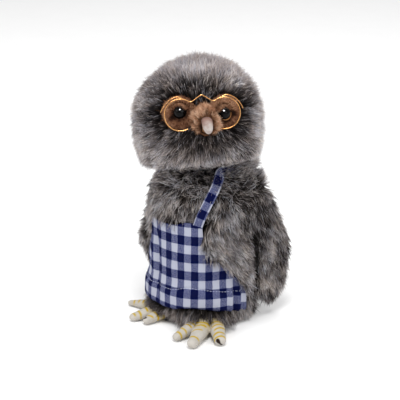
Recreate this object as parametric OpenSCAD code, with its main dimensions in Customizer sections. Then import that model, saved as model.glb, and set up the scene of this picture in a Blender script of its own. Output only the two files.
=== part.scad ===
// Plush owl glove puppet: fur body over a lined hand opening, a head that
// turns on a finger tube, two wings hung from corded shoulder seams, wire
// spectacles that pull off, and a bib apron. Millimetres, +Z up, the owl's
// body faces -Y, its left side is +X, and the floor is z = 0.

/* [Body] */
// Height of the body's flat shoulder above the floor
body_h = 108; // [104:0.5:110]
// Largest radius of the body fur, under the apron
body_r = 38.8; // [37:0.1:39.2]
// Thickness of the fur layer
fur_t = 4.5; // [3:0.1:5]
// Thickness of the wadding behind the fur
wad_t = 4.5; // [3:0.1:5]
// Thickness of the glove lining
lining_t = 1.2; // [0.8:0.1:1.5]
// Radius of the hand opening in the base
hand_r = 27.5; // [26:0.1:28]
// Height of the bound edge round the hand opening
binding_h = 3; // [2.5:0.1:4]
// Height where the body's fur sleeve meets the shoulder yoke
yoke_z = 94; // [93:0.5:95]

/* [Head] */
// Radius of the head fur at its widest
head_r = 46; // [44:0.1:46.5]
// Height of the head's centre above the floor
head_z = 153.5; // [153:0.1:156]
// How far the neck stands in front of the body's axis
neck_fwd = 7; // [5:0.1:8]
// How far the head is turned to the owl's left at rest
head_turn = 42; // [0:1:80]
// How far the face looks up
face_pitch = 14; // [8:1:18]
// How far the face leans to the owl's right
face_roll = 2.5; // [0:0.1:5]
// Radius of the head's filling
stuff_r = 38; // [36:0.1:38.5]

/* [Neck] */
// Outer radius of the finger tube
tube_r = 12; // [11:0.1:12.5]
// Wall of the finger tube
tube_t = 1.6; // [1.2:0.1:2]
// Running clearance of the tube in its collar
tube_gap = 0.05; // [0.02:0.01:0.1]

/* [Face] */
// Angle of each eye from the middle of the face
eye_az = 22; // [22:0.5:26]
// Angle of the eyes above the face's own level
eye_el = 8; // [6:0.5:10]
// Radius of the eye dome
eye_r = 4.7; // [4:0.1:5]
// Radius of the muzzle tuft
muzzle_r = 9.8; // [9:0.1:10.5]
// Height of the muzzle's middle above the face's own level
muzzle_z = 0.8; // [-1:0.1:2]
// Radius of the beak
beak_r = 4.6; // [4:0.1:5]
// Length of the beak
beak_l = 12.8; // [11:0.1:15]

/* [Spectacles] */
// Radius of each rim, to the middle of the wire
rim_r = 11.1; // [11:0.1:12.3]
// Distance of each rim's centre from the middle of the face
rim_x = 15.5; // [15:0.1:17]
// Radius of the wire
wire_r = 0.5; // [0.5:0.05:0.7]
// How far in front of the head's centre the rims stand
rim_y = 45; // [44:0.1:47]

/* [Apron] */
// Thickness of the apron cloth with its turned edges
cloth_t = 1; // [0.6:0.1:1.1]
// Height of the hem above the floor
hem_z = 15; // [14.5:0.5:20]
// Height of the top edge of the bib
bib_z = 80.5; // [76:0.5:84]
// Height at which the bib widens into the skirt
waist_z = 60; // [50:0.5:64]
// Half angle that the bib covers
bib_a = 37; // [33:0.5:40]
// Half angle that the skirt covers
skirt_a = 85; // [80:0.5:88]
// Width of the neck strap
strap_w = 6; // [5:0.1:7]

/* [Wings] */
// Distance of each shoulder seam from the body's middle plane
seam_x = 38.2; // [38.2:0.1:39]
// Height of the shoulder seams
seam_z = 97; // [96:0.5:98]
// Thickness of the wing
wing_t = 5; // [4:0.1:6]

/* [Feet] */
// Radius of a toe at its root
toe_r1 = 5.4; // [5:0.1:6.5]
// Radius of a toe at its tip
toe_r2 = 4.2; // [4:0.1:5]

/* [Hidden] */
$fn = 72;

// Body outline, radius against height, from the base up to the shoulder
body_tab = [[0, body_r - 4.3], [3, body_r - 3.2], [8, body_r - 1.4],
            [16, body_r - 0.4], [28, body_r], [78, body_r],
            [90, body_r - 0.8], [97, body_r - 2.2], [102, body_r - 4.2],
            [106, body_r - 7], [body_h, body_r - 9.8]];
// Head outline: round above its widest level, fuller below it
jowl_p = 2.5;
head_low = 44;
// Lower rim angles of the open spectacle wire, and the level of the rims
rim_z = 5.2;
rim_a0 = -116;
rim_a1 = 122;
// Apron and strap lie this far off the fur
lay = 0.5;

function body_at(z, off = 0) = [lookup(z, body_tab) + off, z];
function jowl(z) = head_r * pow(1 - pow(-z / head_r, jowl_p), 1 / jowl_p);

// Profile of the body between two levels, set in or out by off
module body_profile(z0, z1, off) {
    levels = [z0, for (p = body_tab) if (p[0] > z0 && p[0] < z1) p[0], z1];
    polygon(concat([[0, z0]], [for (z = levels) body_at(z, off)], [[0, z1]]));
}

module body_form(z0, z1, off) { rotate_extrude() body_profile(z0, z1, off); }

// A layer that follows the body's outline
module body_layer(z0, z1, o_in, o_out, a0 = 0, a1 = 360) {
    levels = [z0, for (p = body_tab) if (p[0] > z0 && p[0] < z1) p[0], z1];
    n = len(levels);
    rotate([0, 0, a0]) rotate_extrude(angle = a1 - a0)
        polygon(concat([for (z = levels) body_at(z, o_out)],
                       [for (i = [n - 1:-1:0]) body_at(levels[i], o_in)]));
}

// A layer that covers the angles a0..a1, counted from the owl's front
// towards its left
module front_layer(z0, z1, o_in, o_out, a0, a1) {
    body_layer(z0, z1, o_in, o_out, a0 - 90, a1 - 90);
}

module at_neck() { translate([0, -neck_fwd, 0]) children(); }
module at_head() {
    translate([0, -neck_fwd, head_z]) rotate([0, 0, head_turn]) children();
}
module at_face() {
    at_head() rotate([-face_pitch, 0, 0]) rotate([0, -face_roll, 0]) children();
}

// Solid of the head's outer form, about the head's centre
module head_form() {
    up = [for (i = [0:18]) let (a = i * 5) [head_r * cos(a), head_r * sin(a)]];
    dn = [for (i = [1:16]) let (z = -head_low * sin(i * 90 / 16)) [jowl(z), z]];
    rotate_extrude() polygon(concat([[0, -head_low]],
        [for (i = [15:-1:0]) dn[i]], [for (i = [0:17]) up[i]], [[0, head_r]]));
}

// Wire swept along a run of points, one ring of the wire at each of them
function unit(v) = v / norm(v);
function run_dir(pts, i) = unit(pts[min(i + 1, len(pts) - 1)] - pts[max(i - 1, 0)]);
module wire_run(pts, r = wire_r, sides = 8) {
    n = len(pts);
    rings = [for (i = [0:n - 1]) let (t = run_dir(pts, i),
                 u = unit(cross(t, [0, 1, 0])), v = cross(t, u))
             for (k = [0:sides - 1]) let (a = k * 360 / sides)
                 pts[i] + r * (cos(a) * u + sin(a) * v)];
    polyhedron(points = rings, faces = concat(
        [[for (k = [0:sides - 1]) k]],
        [for (i = [0:n - 2], k = [0:sides - 1]) let (m = (k + 1) % sides)
            [i * sides + k, (i + 1) * sides + k, (i + 1) * sides + m, i * sides + m]],
        [[for (k = [sides - 1:-1:0]) (n - 1) * sides + k]]), convexity = 6);
}

// Round hole or post along the face's forward axis
module face_post(x, z, r, y0, y1) {
    translate([x, -y0, z]) rotate([90, 0, 0]) cylinder(r = r, h = y1 - y0);
}

// Places a child on an eye's own axis, +Z outwards from the head's centre
module at_eye(s) {
    rotate([0, 0, s * eye_az]) rotate([-eye_el, 0, 0]) rotate([90, 0, 0])
        children();
}

// ---------------------------------------------------------------- body
module body_fur() color([0.36, 0.34, 0.33]) difference() {
    body_form(binding_h, yoke_z, 0);
    body_form(binding_h - 1, yoke_z + 1, -fur_t);
}

// Fur yoke: the panel over the shoulders, from the sleeve's top to the neck
module shoulder_fur() color([0.38, 0.36, 0.35]) difference() {
    body_form(yoke_z, body_h, 0);
    body_form(yoke_z - 1, body_h - 5, -fur_t);
    at_neck() translate([0, 0, body_h - 20]) cylinder(r = 20, h = 40);
}

module body_wadding() color([0.93, 0.93, 0.9]) difference() {
    body_layer(binding_h, 96, -fur_t - wad_t, -fur_t);
    translate([0, 0, -1]) cylinder(r = hand_r + lining_t, h = 120);
}

module body_lining() color([0.75, 0.75, 0.78]) difference() {
    union() {
        translate([0, 0, binding_h])
            cylinder(r = hand_r + lining_t, h = 92 - binding_h);
        translate([0, 0, 90.8]) cylinder(r = hand_r, h = lining_t);
    }
    translate([0, 0, -1]) cylinder(r = hand_r, h = 91.8);
    at_neck() cylinder(r = 18.5, h = 120);
}

module base_binding() color([0.2, 0.2, 0.22]) difference() {
    rotate_extrude() polygon([[hand_r, 0], [body_r - 5, 0], [body_r - 4, 1],
                              [body_r - 3.6, binding_h], [hand_r, binding_h]]);
}

module neck_collar() color([0.85, 0.85, 0.82]) at_neck() difference() {
    union() {
        translate([0, 0, 99]) cylinder(r = 19.9, h = body_h - 99);
        translate([0, 0, 99]) cylinder(r = 23, h = 3.5);
    }
    translate([0, 0, 90]) cylinder(r = tube_r + tube_gap, h = 30);
}

// Toe from its root to its tip, lying on the floor, in three stuffed lengths
module toe(p, q) {
    at = [0, 0.45, 0.8, 1];
    for (i = [0:2]) hull() for (k = [i, i + 1]) {
        r = toe_r1 + (toe_r2 - toe_r1) * at[k];
        translate([p[0] + (q[0] - p[0]) * at[k], p[1] + (q[1] - p[1]) * at[k], r])
            sphere(r = r, $fn = 20);
    }
}

// Root and tip of each toe on the floor; the left foot stands further out
left_toes = [[[22.5, -37.5], [19.8, -60.2]], [[28.5, -36], [35.3, -62.3]],
             [[33.5, -31.5], [48.6, -46.6]]];
right_toes = [[[-15.5, -38], [-16.2, -49.9]], [[-21.5, -36], [-28.2, -50.8]],
              [[-28, -30.5], [-46.5, -30.5]]];

// Three toes spread from one ankle, fitted to the body's fur
module foot(toes, ankle) difference() {
    union() {
        for (t = toes) toe(t[0], t[1]);
        translate([ankle[0], ankle[1], 6.5]) sphere(r = 6.5, $fn = 20);
    }
    body_form(0, 40, 0.05);
}

module foot_left() color([0.93, 0.89, 0.78]) foot(left_toes, [27, -32.2]);
module foot_right() color([0.93, 0.89, 0.78]) foot(right_toes, [-22, -35.8]);

// ---------------------------------------------------------------- apron
// Wedge between two angles and two levels, wide enough to cut any layer
module wedge(a0, a1, z0, z1) {
    rotate([0, 0, a0 - 90]) rotate_extrude(angle = a1 - a0)
        translate([20, z0]) square([40, z1 - z0]);
}

module apron() color([0.35, 0.4, 0.65]) difference() {
    front_layer(hem_z, bib_z, lay, lay + cloth_t, -skirt_a, skirt_a);
    wedge(bib_a, skirt_a + 3, waist_z, bib_z + 5);
    wedge(-skirt_a - 3, -bib_a, waist_z, bib_z + 5);
}

// Slanted slab that the strap follows from the bib's corner to the shoulder
module strap_slab(s) {
    rotate([0, 0, s * 46]) translate([0, -38, 96]) rotate([0, s * 27, 0])
        cube([strap_w, 30, 60], center = true);
}

module neck_strap() color([0.2, 0.25, 0.5]) intersection() {
    body_layer(bib_z + 0.3, 107, lay, lay + cloth_t);
    union() {
        strap_slab(1);
        strap_slab(-1);
        wedge(52, 308, 102.5, 110);
    }
}

module waist_elastic() color([0.85, 0.86, 0.92])
    front_layer(24, 30, lay, lay + cloth_t, skirt_a + 0.2, 359.8 - skirt_a);

// ---------------------------------------------------------------- wings
module along_y(y0, y1) {
    translate([0, y1, 0]) rotate([90, 0, 0]) linear_extrude(height = y1 - y0)
        children();
}

module shoulder_seam(s) color([0.3, 0.28, 0.28]) difference() {
    translate([s * seam_x, 20, seam_z]) rotate([90, 0, 0])
        cylinder(r = 1.5, h = 34);
    body_form(80, body_h, 0.02);
}

module shoulder_seam_left() shoulder_seam(1);
module shoulder_seam_right() shoulder_seam(-1);

// Top edge of the wing, rolled round the seam's cord
module wing_roll(y0, y1) {
    translate([seam_x, y1, seam_z]) rotate([90, 0, 0]) rotate([0, 0, -100])
        rotate_extrude(angle = 140) translate([1.8, 0]) square([2.4, y1 - y0]);
}

// Side outline swept across the wing
module wing_side(pts) {
    rotate([90, 0, 90]) linear_extrude(height = 90) polygon(pts);
}

module wing_front() difference() {
    union() {
        intersection() {
            front_layer(20, seam_z - 1, 2.7, 2.7 + wing_t, 36, 104);
            wing_side([[-30, 84], [-33, 74], [-33, 63], [-25, 56], [-8, 44],
                       [3, 31], [8, 24], [9.4, 26], [9.4, 100], [-22, 100]]);
        }
        wing_roll(-13, 9.4);
    }
    translate([seam_x, 40, seam_z]) rotate([90, 0, 0])
        cylinder(r = 1.8, h = 80);
}

module wing_rear() difference() {
    union() {
        translate([42.4, 9.6, 0]) rotate([0, 0, -18]) rotate([90, 0, 90])
            linear_extrude(height = wing_t + 2)
            polygon([[0.4, seam_z - 1], [12, seam_z - 2], [20, 85], [26, 68],
                     [30.5, 50], [28, 34], [23, 17], [18, 6], [12, 5],
                     [6, 14], [1.5, 32], [0.4, 70]]);
        wing_roll(9.6, 19);
        translate([39.9, 9.6, seam_z - 4.1]) cube([7, 9.4, 3.1]);
    }
    translate([seam_x, 60, seam_z]) rotate([90, 0, 0])
        cylinder(r = 1.8, h = 80);
    translate([0, -40.3, 0]) cube([100, 50, 200]);
}

module wing_left_front() color([0.4, 0.37, 0.35]) wing_front();
module wing_left_rear() color([0.37, 0.35, 0.34]) wing_rear();
module wing_right_front() color([0.4, 0.37, 0.35]) mirror([1, 0, 0]) wing_front();
module wing_right_rear() color([0.37, 0.35, 0.34]) mirror([1, 0, 0]) wing_rear();

// ---------------------------------------------------------------- head
module temple_slot(s) {
    at_face() rotate([90, 0, 0]) linear_extrude(height = 130, center = true)
        polygon([[s * 26, 13.4], [s * 60, 3], [s * 60, 0], [s * 26, 10.2]]);
}

module head_fur() color([0.4, 0.37, 0.36]) difference() {
    at_head() head_form();
    at_head() sphere(r = stuff_r);
    at_neck() translate([0, 0, 90]) cylinder(r = tube_r, h = 60);
    at_face() for (s = [-1, 1]) face_post(s * 16.5, 5, 14.2, 0, 80);
    at_face() face_post(0, muzzle_z, muzzle_r, 0, 80);
    intersection() {
        union() { temple_slot(1); temple_slot(-1); }
        at_face() translate([-80, -80, -40]) cube([160, 84, 80]);
    }
}

module head_stuffing() color([0.95, 0.95, 0.93]) difference() {
    at_head() sphere(r = stuff_r);
    at_neck() translate([0, 0, 90]) cylinder(r = tube_r, h = 46);
    at_face() for (s = [-1, 1]) at_eye(s) {
        cylinder(r = 1.5, h = 60);
        translate([0, 0, 35.5]) cylinder(r = 5.5, h = 20);
    }
}

module neck_tube() color([0.8, 0.8, 0.78]) at_neck() difference() {
    translate([0, 0, 96]) cylinder(r = tube_r, h = 40);
    translate([0, 0, 95]) cylinder(r = tube_r - tube_t, h = 60);
}

module neck_ring() color([0.7, 0.7, 0.68]) at_neck() difference() {
    translate([0, 0, 96]) cylinder(r = 16.5, h = 2.6);
    translate([0, 0, 95]) cylinder(r = tube_r, h = 5);
}

module face_disc(s) color([0.5, 0.34, 0.22]) at_face() difference() {
    intersection() {
        face_post(s * 16.5, 5, 14.1, 20, 60);
        sphere(r = 41);
    }
    sphere(r = stuff_r + 0.02);
    face_post(0, muzzle_z, muzzle_r + 0.02, 0, 80);
    at_eye(s) cylinder(r = 1.5, h = 60);
}

module face_disc_left() face_disc(1);
module face_disc_right() face_disc(-1);

module muzzle_form(off = 0) {
    face_post(0, muzzle_z, muzzle_r - 0.05 + off, 20, 45);
    translate([0, -45, muzzle_z]) sphere(r = muzzle_r - 0.05 + off);
}

module muzzle() color([0.66, 0.5, 0.37]) at_face() difference() {
    muzzle_form();
    sphere(r = stuff_r + 0.02);
}

// Beak: a drop with a round lower tip, standing on the front of the muzzle
module beak() color([0.88, 0.8, 0.74]) at_face() difference() {
    translate([0, -54.2, 3.2]) rotate([-10, 0, 0]) rotate_extrude()
        polygon(concat([[0, 0]],
            [for (i = [1:11]) let (t = i / 12)
                [beak_r * pow(sin(180 * pow(t, 0.86)), 0.62), -beak_l * t]],
            [[0, -beak_l]]));
    muzzle_form(0.02);
}

// Eye: dome, flat back and a stem through the face
module eye(s) color([0.03, 0.03, 0.03]) at_face() at_eye(s) union() {
    intersection() {
        translate([0, 0, 40.6]) sphere(r = eye_r);
        translate([0, 0, 41.02]) cylinder(r = 10, h = 10);
    }
    translate([0, 0, 28]) cylinder(r = 1.5, h = 14);
}

module eye_left() eye(1);
module eye_right() eye(-1);

module eye_washer(s) color([0.8, 0.8, 0.8]) at_face() at_eye(s) difference() {
    translate([0, 0, 35.5]) cylinder(r = 5.5, h = 1.5);
    translate([0, 0, 30]) cylinder(r = 1.5, h = 20);
}

module eye_washer_left() eye_washer(1);
module eye_washer_right() eye_washer(-1);

// ---------------------------------------------------------------- spectacles
function rim_pt(r, a) = [rim_x + r * cos(a), -rim_y, rim_z + r * sin(a)];

// Half of the front wire, from its free lower end up to the bridge's valley
half_run = concat([for (i = [0:26]) rim_pt(rim_r, rim_a0 + i * (rim_a1 - rim_a0) / 26)],
                  [[8.4, -rim_y, rim_z + 8.9], [7.3, -rim_y, rim_z + 8.9],
                   [3.2, -rim_y, rim_z + 11.6], [0.7, -rim_y, rim_z + 13.1]]);
half_n = len(half_run);

module spectacle_rims() color([0.83, 0.62, 0.25]) at_face()
    wire_run(concat(half_run, [[0, -rim_y, rim_z + 13.3]],
        [for (i = [half_n - 1:-1:0]) [-half_run[i][0], half_run[i][1], half_run[i][2]]]));

// Side arm: lies along the outer top of the rim, then runs back into the fur
module temple() {
    r2 = rim_r + 2 * wire_r + 0.1;
    wire_run(concat([for (i = [0:10]) rim_pt(r2, 95 - i * 6.4)],
                    [[28, -rim_y + 4.2, 10.4], [29.4, -35.5, 10.2], [33, -25, 9.4], [41, -2, 7]]));
}

module temple_left() color([0.83, 0.62, 0.25]) at_face() temple();
module temple_right() color([0.83, 0.62, 0.25]) at_face() mirror([1, 0, 0]) temple();

body_fur();
shoulder_fur();
body_wadding();
body_lining();
base_binding();
neck_collar();
foot_left();
foot_right();
apron();
neck_strap();
waist_elastic();
shoulder_seam_left();
shoulder_seam_right();
head_fur();
head_stuffing();
neck_tube();
neck_ring();
face_disc_left();
face_disc_right();
muzzle();
beak();
eye_left();
eye_right();
eye_washer_left();
eye_washer_right();
spectacle_rims();
temple_left();
temple_right();
wing_left_front();
wing_left_rear();
wing_right_front();
wing_right_rear();
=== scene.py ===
import math

import bmesh
import bpy
import numpy as np
from mathutils import Matrix, Vector, kdtree


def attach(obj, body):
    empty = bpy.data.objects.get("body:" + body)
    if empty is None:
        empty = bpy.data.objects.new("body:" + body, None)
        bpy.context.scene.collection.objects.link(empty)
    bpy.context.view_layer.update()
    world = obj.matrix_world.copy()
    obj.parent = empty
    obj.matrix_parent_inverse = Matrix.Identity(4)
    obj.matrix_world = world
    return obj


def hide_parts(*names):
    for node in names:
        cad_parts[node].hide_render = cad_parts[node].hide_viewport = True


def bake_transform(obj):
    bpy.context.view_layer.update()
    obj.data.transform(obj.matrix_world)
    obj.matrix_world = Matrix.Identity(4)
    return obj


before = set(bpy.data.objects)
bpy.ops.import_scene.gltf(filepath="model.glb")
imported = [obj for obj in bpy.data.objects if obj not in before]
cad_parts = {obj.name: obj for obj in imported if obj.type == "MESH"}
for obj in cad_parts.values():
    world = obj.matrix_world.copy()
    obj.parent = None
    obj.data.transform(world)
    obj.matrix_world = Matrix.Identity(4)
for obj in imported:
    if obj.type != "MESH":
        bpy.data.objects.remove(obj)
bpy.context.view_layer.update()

MM = 0.001
SEED = 41


# ------------------------------------------------------------------ helpers
def lin(r, g, b):
    """sRGB 0..255 to scene linear."""
    out = []
    for c in (r, g, b):
        c = c / 255.0
        out.append(c / 12.92 if c <= 0.04045 else ((c + 0.055) / 1.055) ** 2.4)
    return tuple(out) + (1.0,)


def rot(axis, deg):
    a = math.radians(deg)
    c, s = math.cos(a), math.sin(a)
    if axis == "x":
        return np.array([[1, 0, 0], [0, c, -s], [0, s, c]])
    if axis == "y":
        return np.array([[c, 0, s], [0, 1, 0], [-s, 0, c]])
    return np.array([[c, -s, 0], [s, c, 0], [0, 0, 1]])


def unit(v):
    return v / np.maximum(np.linalg.norm(v, axis=-1, keepdims=True), 1e-9)


def smooth(x, a, b):
    t = np.clip((x - a) / (b - a), 0, 1)
    return t * t * (3 - 2 * t)


def noise3(P, scale, seed):
    """Smooth value noise, 0..1, on points in millimetres."""
    g = np.random.default_rng(seed).random((32, 32, 32))
    Q = np.asarray(P, float) / scale + 1000.0
    I = np.floor(Q).astype(int)
    f = Q - I
    f = f * f * (3 - 2 * f)
    out = np.zeros(len(Q))
    for dx in (0, 1):
        for dy in (0, 1):
            for dz in (0, 1):
                w = (f[:, 0] if dx else 1 - f[:, 0]) * (f[:, 1] if dy else 1 - f[:, 1]) * (f[:, 2] if dz else 1 - f[:, 2])
                out += w * g[(I[:, 0] + dx) % 32, (I[:, 1] + dy) % 32, (I[:, 2] + dz) % 32]
    return out


def add_mesh(name, verts_mm, faces, smooth_shade=True, mat=None):
    me = bpy.data.meshes.new(name)
    me.from_pydata([tuple(v) for v in np.asarray(verts_mm) * MM], [], [tuple(int(i) for i in f) for f in faces])
    me.validate()
    me.update()
    if smooth_shade:
        me.polygons.foreach_set("use_smooth", np.ones(len(me.polygons), bool))
    ob = bpy.data.objects.new(name, me)
    bpy.context.collection.objects.link(ob)
    if mat:
        me.materials.append(mat)
    return ob


def add_tris(name, V, F, uv=None, mat=None):
    """Fast triangle mesh from arrays, millimetres in, with the bake map given per corner."""
    me = bpy.data.meshes.new(name)
    me.vertices.add(len(V))
    me.vertices.foreach_set("co", (np.asarray(V, np.float32) * MM).ravel())
    me.loops.add(F.size)
    me.loops.foreach_set("vertex_index", F.astype(np.int32).ravel())
    me.polygons.add(len(F))
    me.polygons.foreach_set("loop_start", np.arange(0, F.size, 3, dtype=np.int32))
    me.update(calc_edges=True)
    me.polygons.foreach_set("use_smooth", np.ones(len(F), bool))
    if uv is not None:
        layer = me.uv_layers.new(name="OFBake")
        layer.data.foreach_set("uv", np.asarray(uv, np.float32).ravel())
    me.validate()
    ob = bpy.data.objects.new(name, me)
    bpy.context.collection.objects.link(ob)
    if mat:
        me.materials.append(mat)
    return ob


def grid_faces(nu, nv, wrap_u=True):
    F = []
    for j in range(nv - 1):
        for i in range(nu if wrap_u else nu - 1):
            a = j * nu + i
            b = j * nu + (i + 1) % nu
            F.append((a, b, b + nu, a + nu))
    return F


def vertex_normals(V, F):
    N = np.zeros_like(V)
    Q = np.array([f if len(f) == 4 else (f[0], f[1], f[2], f[2]) for f in F])
    n = np.cross(V[Q[:, 2]] - V[Q[:, 0]], V[Q[:, 3]] - V[Q[:, 1]])
    for k in range(4):
        np.add.at(N, Q[:, k], n)
    return unit(N)


def sample(V, F, count, rng, keep=None):
    """Roots scattered evenly over a surface: points and smooth normals."""
    VN = vertex_normals(V, F)
    T = []
    for f in F:
        T.append((f[0], f[1], f[2]))
        if len(f) == 4:
            T.append((f[0], f[2], f[3]))
    T = np.array(T)
    A = 0.5 * np.linalg.norm(np.cross(V[T[:, 1]] - V[T[:, 0]], V[T[:, 2]] - V[T[:, 0]]), axis=1)
    pick = rng.choice(len(T), size=count, p=A / A.sum())
    r1 = np.sqrt(rng.random(count))[:, None]
    r2 = rng.random(count)[:, None]
    w = (1 - r1, r1 * (1 - r2), r1 * r2)
    P = sum(w[k] * V[T[pick, k]] for k in range(3))
    N = unit(sum(w[k] * VN[T[pick, k]] for k in range(3)))
    if keep is not None:
        m = keep(P, N)
        P, N = P[m], N[m]
    return P, N


# ------------------------------------------------------------------ materials
def new_mat(name):
    m = bpy.data.materials.new(name)
    m.use_nodes = True
    nt = m.node_tree
    nt.nodes.clear()
    out = nt.nodes.new("ShaderNodeOutputMaterial")
    b = nt.nodes.new("ShaderNodeBsdfPrincipled")
    nt.links.new(b.outputs[0], out.inputs[0])
    return m, nt, b


def ramp(nt, src, stops, interp="LINEAR"):
    r = nt.nodes.new("ShaderNodeValToRGB")
    r.color_ramp.interpolation = interp
    e = r.color_ramp.elements
    while len(e) > 1:
        e.remove(e[-1])
    e[0].position = stops[0][0]
    e[0].color = stops[0][1]
    for p, c in stops[1:]:
        n = e.new(p)
        n.color = c
    if src is not None:
        nt.links.new(src, r.inputs[0])
    return r.outputs[0]


def math_node(nt, op, a, b=None, clamp=False):
    n = nt.nodes.new("ShaderNodeMath")
    n.operation = op
    n.use_clamp = clamp
    for k, v in enumerate((a, b)):
        if v is None:
            continue
        if isinstance(v, (int, float)):
            n.inputs[k].default_value = v
        else:
            nt.links.new(v, n.inputs[k])
    return n.outputs[0]


def mix_rgb(nt, fac, a, b, mode="MIX"):
    n = nt.nodes.new("ShaderNodeMix")
    n.data_type = "RGBA"
    n.blend_type = mode
    for key, v in ((0, fac), (6, a), (7, b)):
        if isinstance(v, (int, float)):
            n.inputs[key].default_value = v
        elif isinstance(v, tuple):
            n.inputs[key].default_value = v
        else:
            nt.links.new(v, n.inputs[key])
    return n.outputs[2]


def noise_tex(nt, scale, detail=3.0, rough=0.55, vec=None):
    t = nt.nodes.new("ShaderNodeTexNoise")
    t.inputs["Scale"].default_value = scale
    t.inputs["Detail"].default_value = detail
    t.inputs["Roughness"].default_value = rough
    if vec is None:
        tc = nt.nodes.new("ShaderNodeTexCoord")
        vec = tc.outputs["Object"]
    nt.links.new(vec, t.inputs["Vector"])
    return t.outputs["Fac"]


def bump(nt, bsdf, height, strength, dist):
    b = nt.nodes.new("ShaderNodeBump")
    b.inputs["Strength"].default_value = strength
    b.inputs["Distance"].default_value = dist
    nt.links.new(height, b.inputs["Height"])
    nt.links.new(b.outputs[0], bsdf.inputs["Normal"])


LEVELS = 24


def fur_mat(name, root, tips, vstops, rough=0.62, spec=0.03, sheen=0.0, tint=None):
    """Hair colour from the strand's own map: u is the strand's tone in steps, with its hue inside each step, v runs from root to tip."""
    m, nt, b = new_mat(name)
    uv = nt.nodes.new("ShaderNodeUVMap")
    uv.uv_map = "OFBake"
    sep = nt.nodes.new("ShaderNodeSeparateXYZ")
    nt.links.new(uv.outputs[0], sep.inputs[0])
    tip = ramp(nt, sep.outputs[0], tips)
    rt = ramp(nt, sep.outputs[0], root)
    f = ramp(nt, sep.outputs[1], [(p, (v, v, v, 1)) for p, v in vstops])
    col = mix_rgb(nt, f, rt, tip)
    if tint:
        hue = math_node(nt, "FRACT", math_node(nt, "MULTIPLY", sep.outputs[0], float(LEVELS)))
        shift = ramp(nt, hue, [(0.08, tint[0]), (0.86, tint[1])])
        col = mix_rgb(nt, 1.0, col, shift, "MULTIPLY")
    nt.links.new(col, b.inputs["Base Color"])
    b.inputs["Roughness"].default_value = rough
    b.inputs["Specular IOR Level"].default_value = spec
    b.inputs["Sheen Weight"].default_value = sheen
    b.inputs["Sheen Roughness"].default_value = 0.5
    return m


def pelt_mat(name, dark, light, scale=260.0):
    m, nt, b = new_mat(name)
    n = noise_tex(nt, scale, 4.0, 0.65)
    c = ramp(nt, n, [(0.3, dark), (0.7, light)])
    nt.links.new(c, b.inputs["Base Color"])
    b.inputs["Roughness"].default_value = 0.9
    b.inputs["Specular IOR Level"].default_value = 0.1
    bump(nt, b, n, 0.6, 0.0008)
    return m


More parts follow.
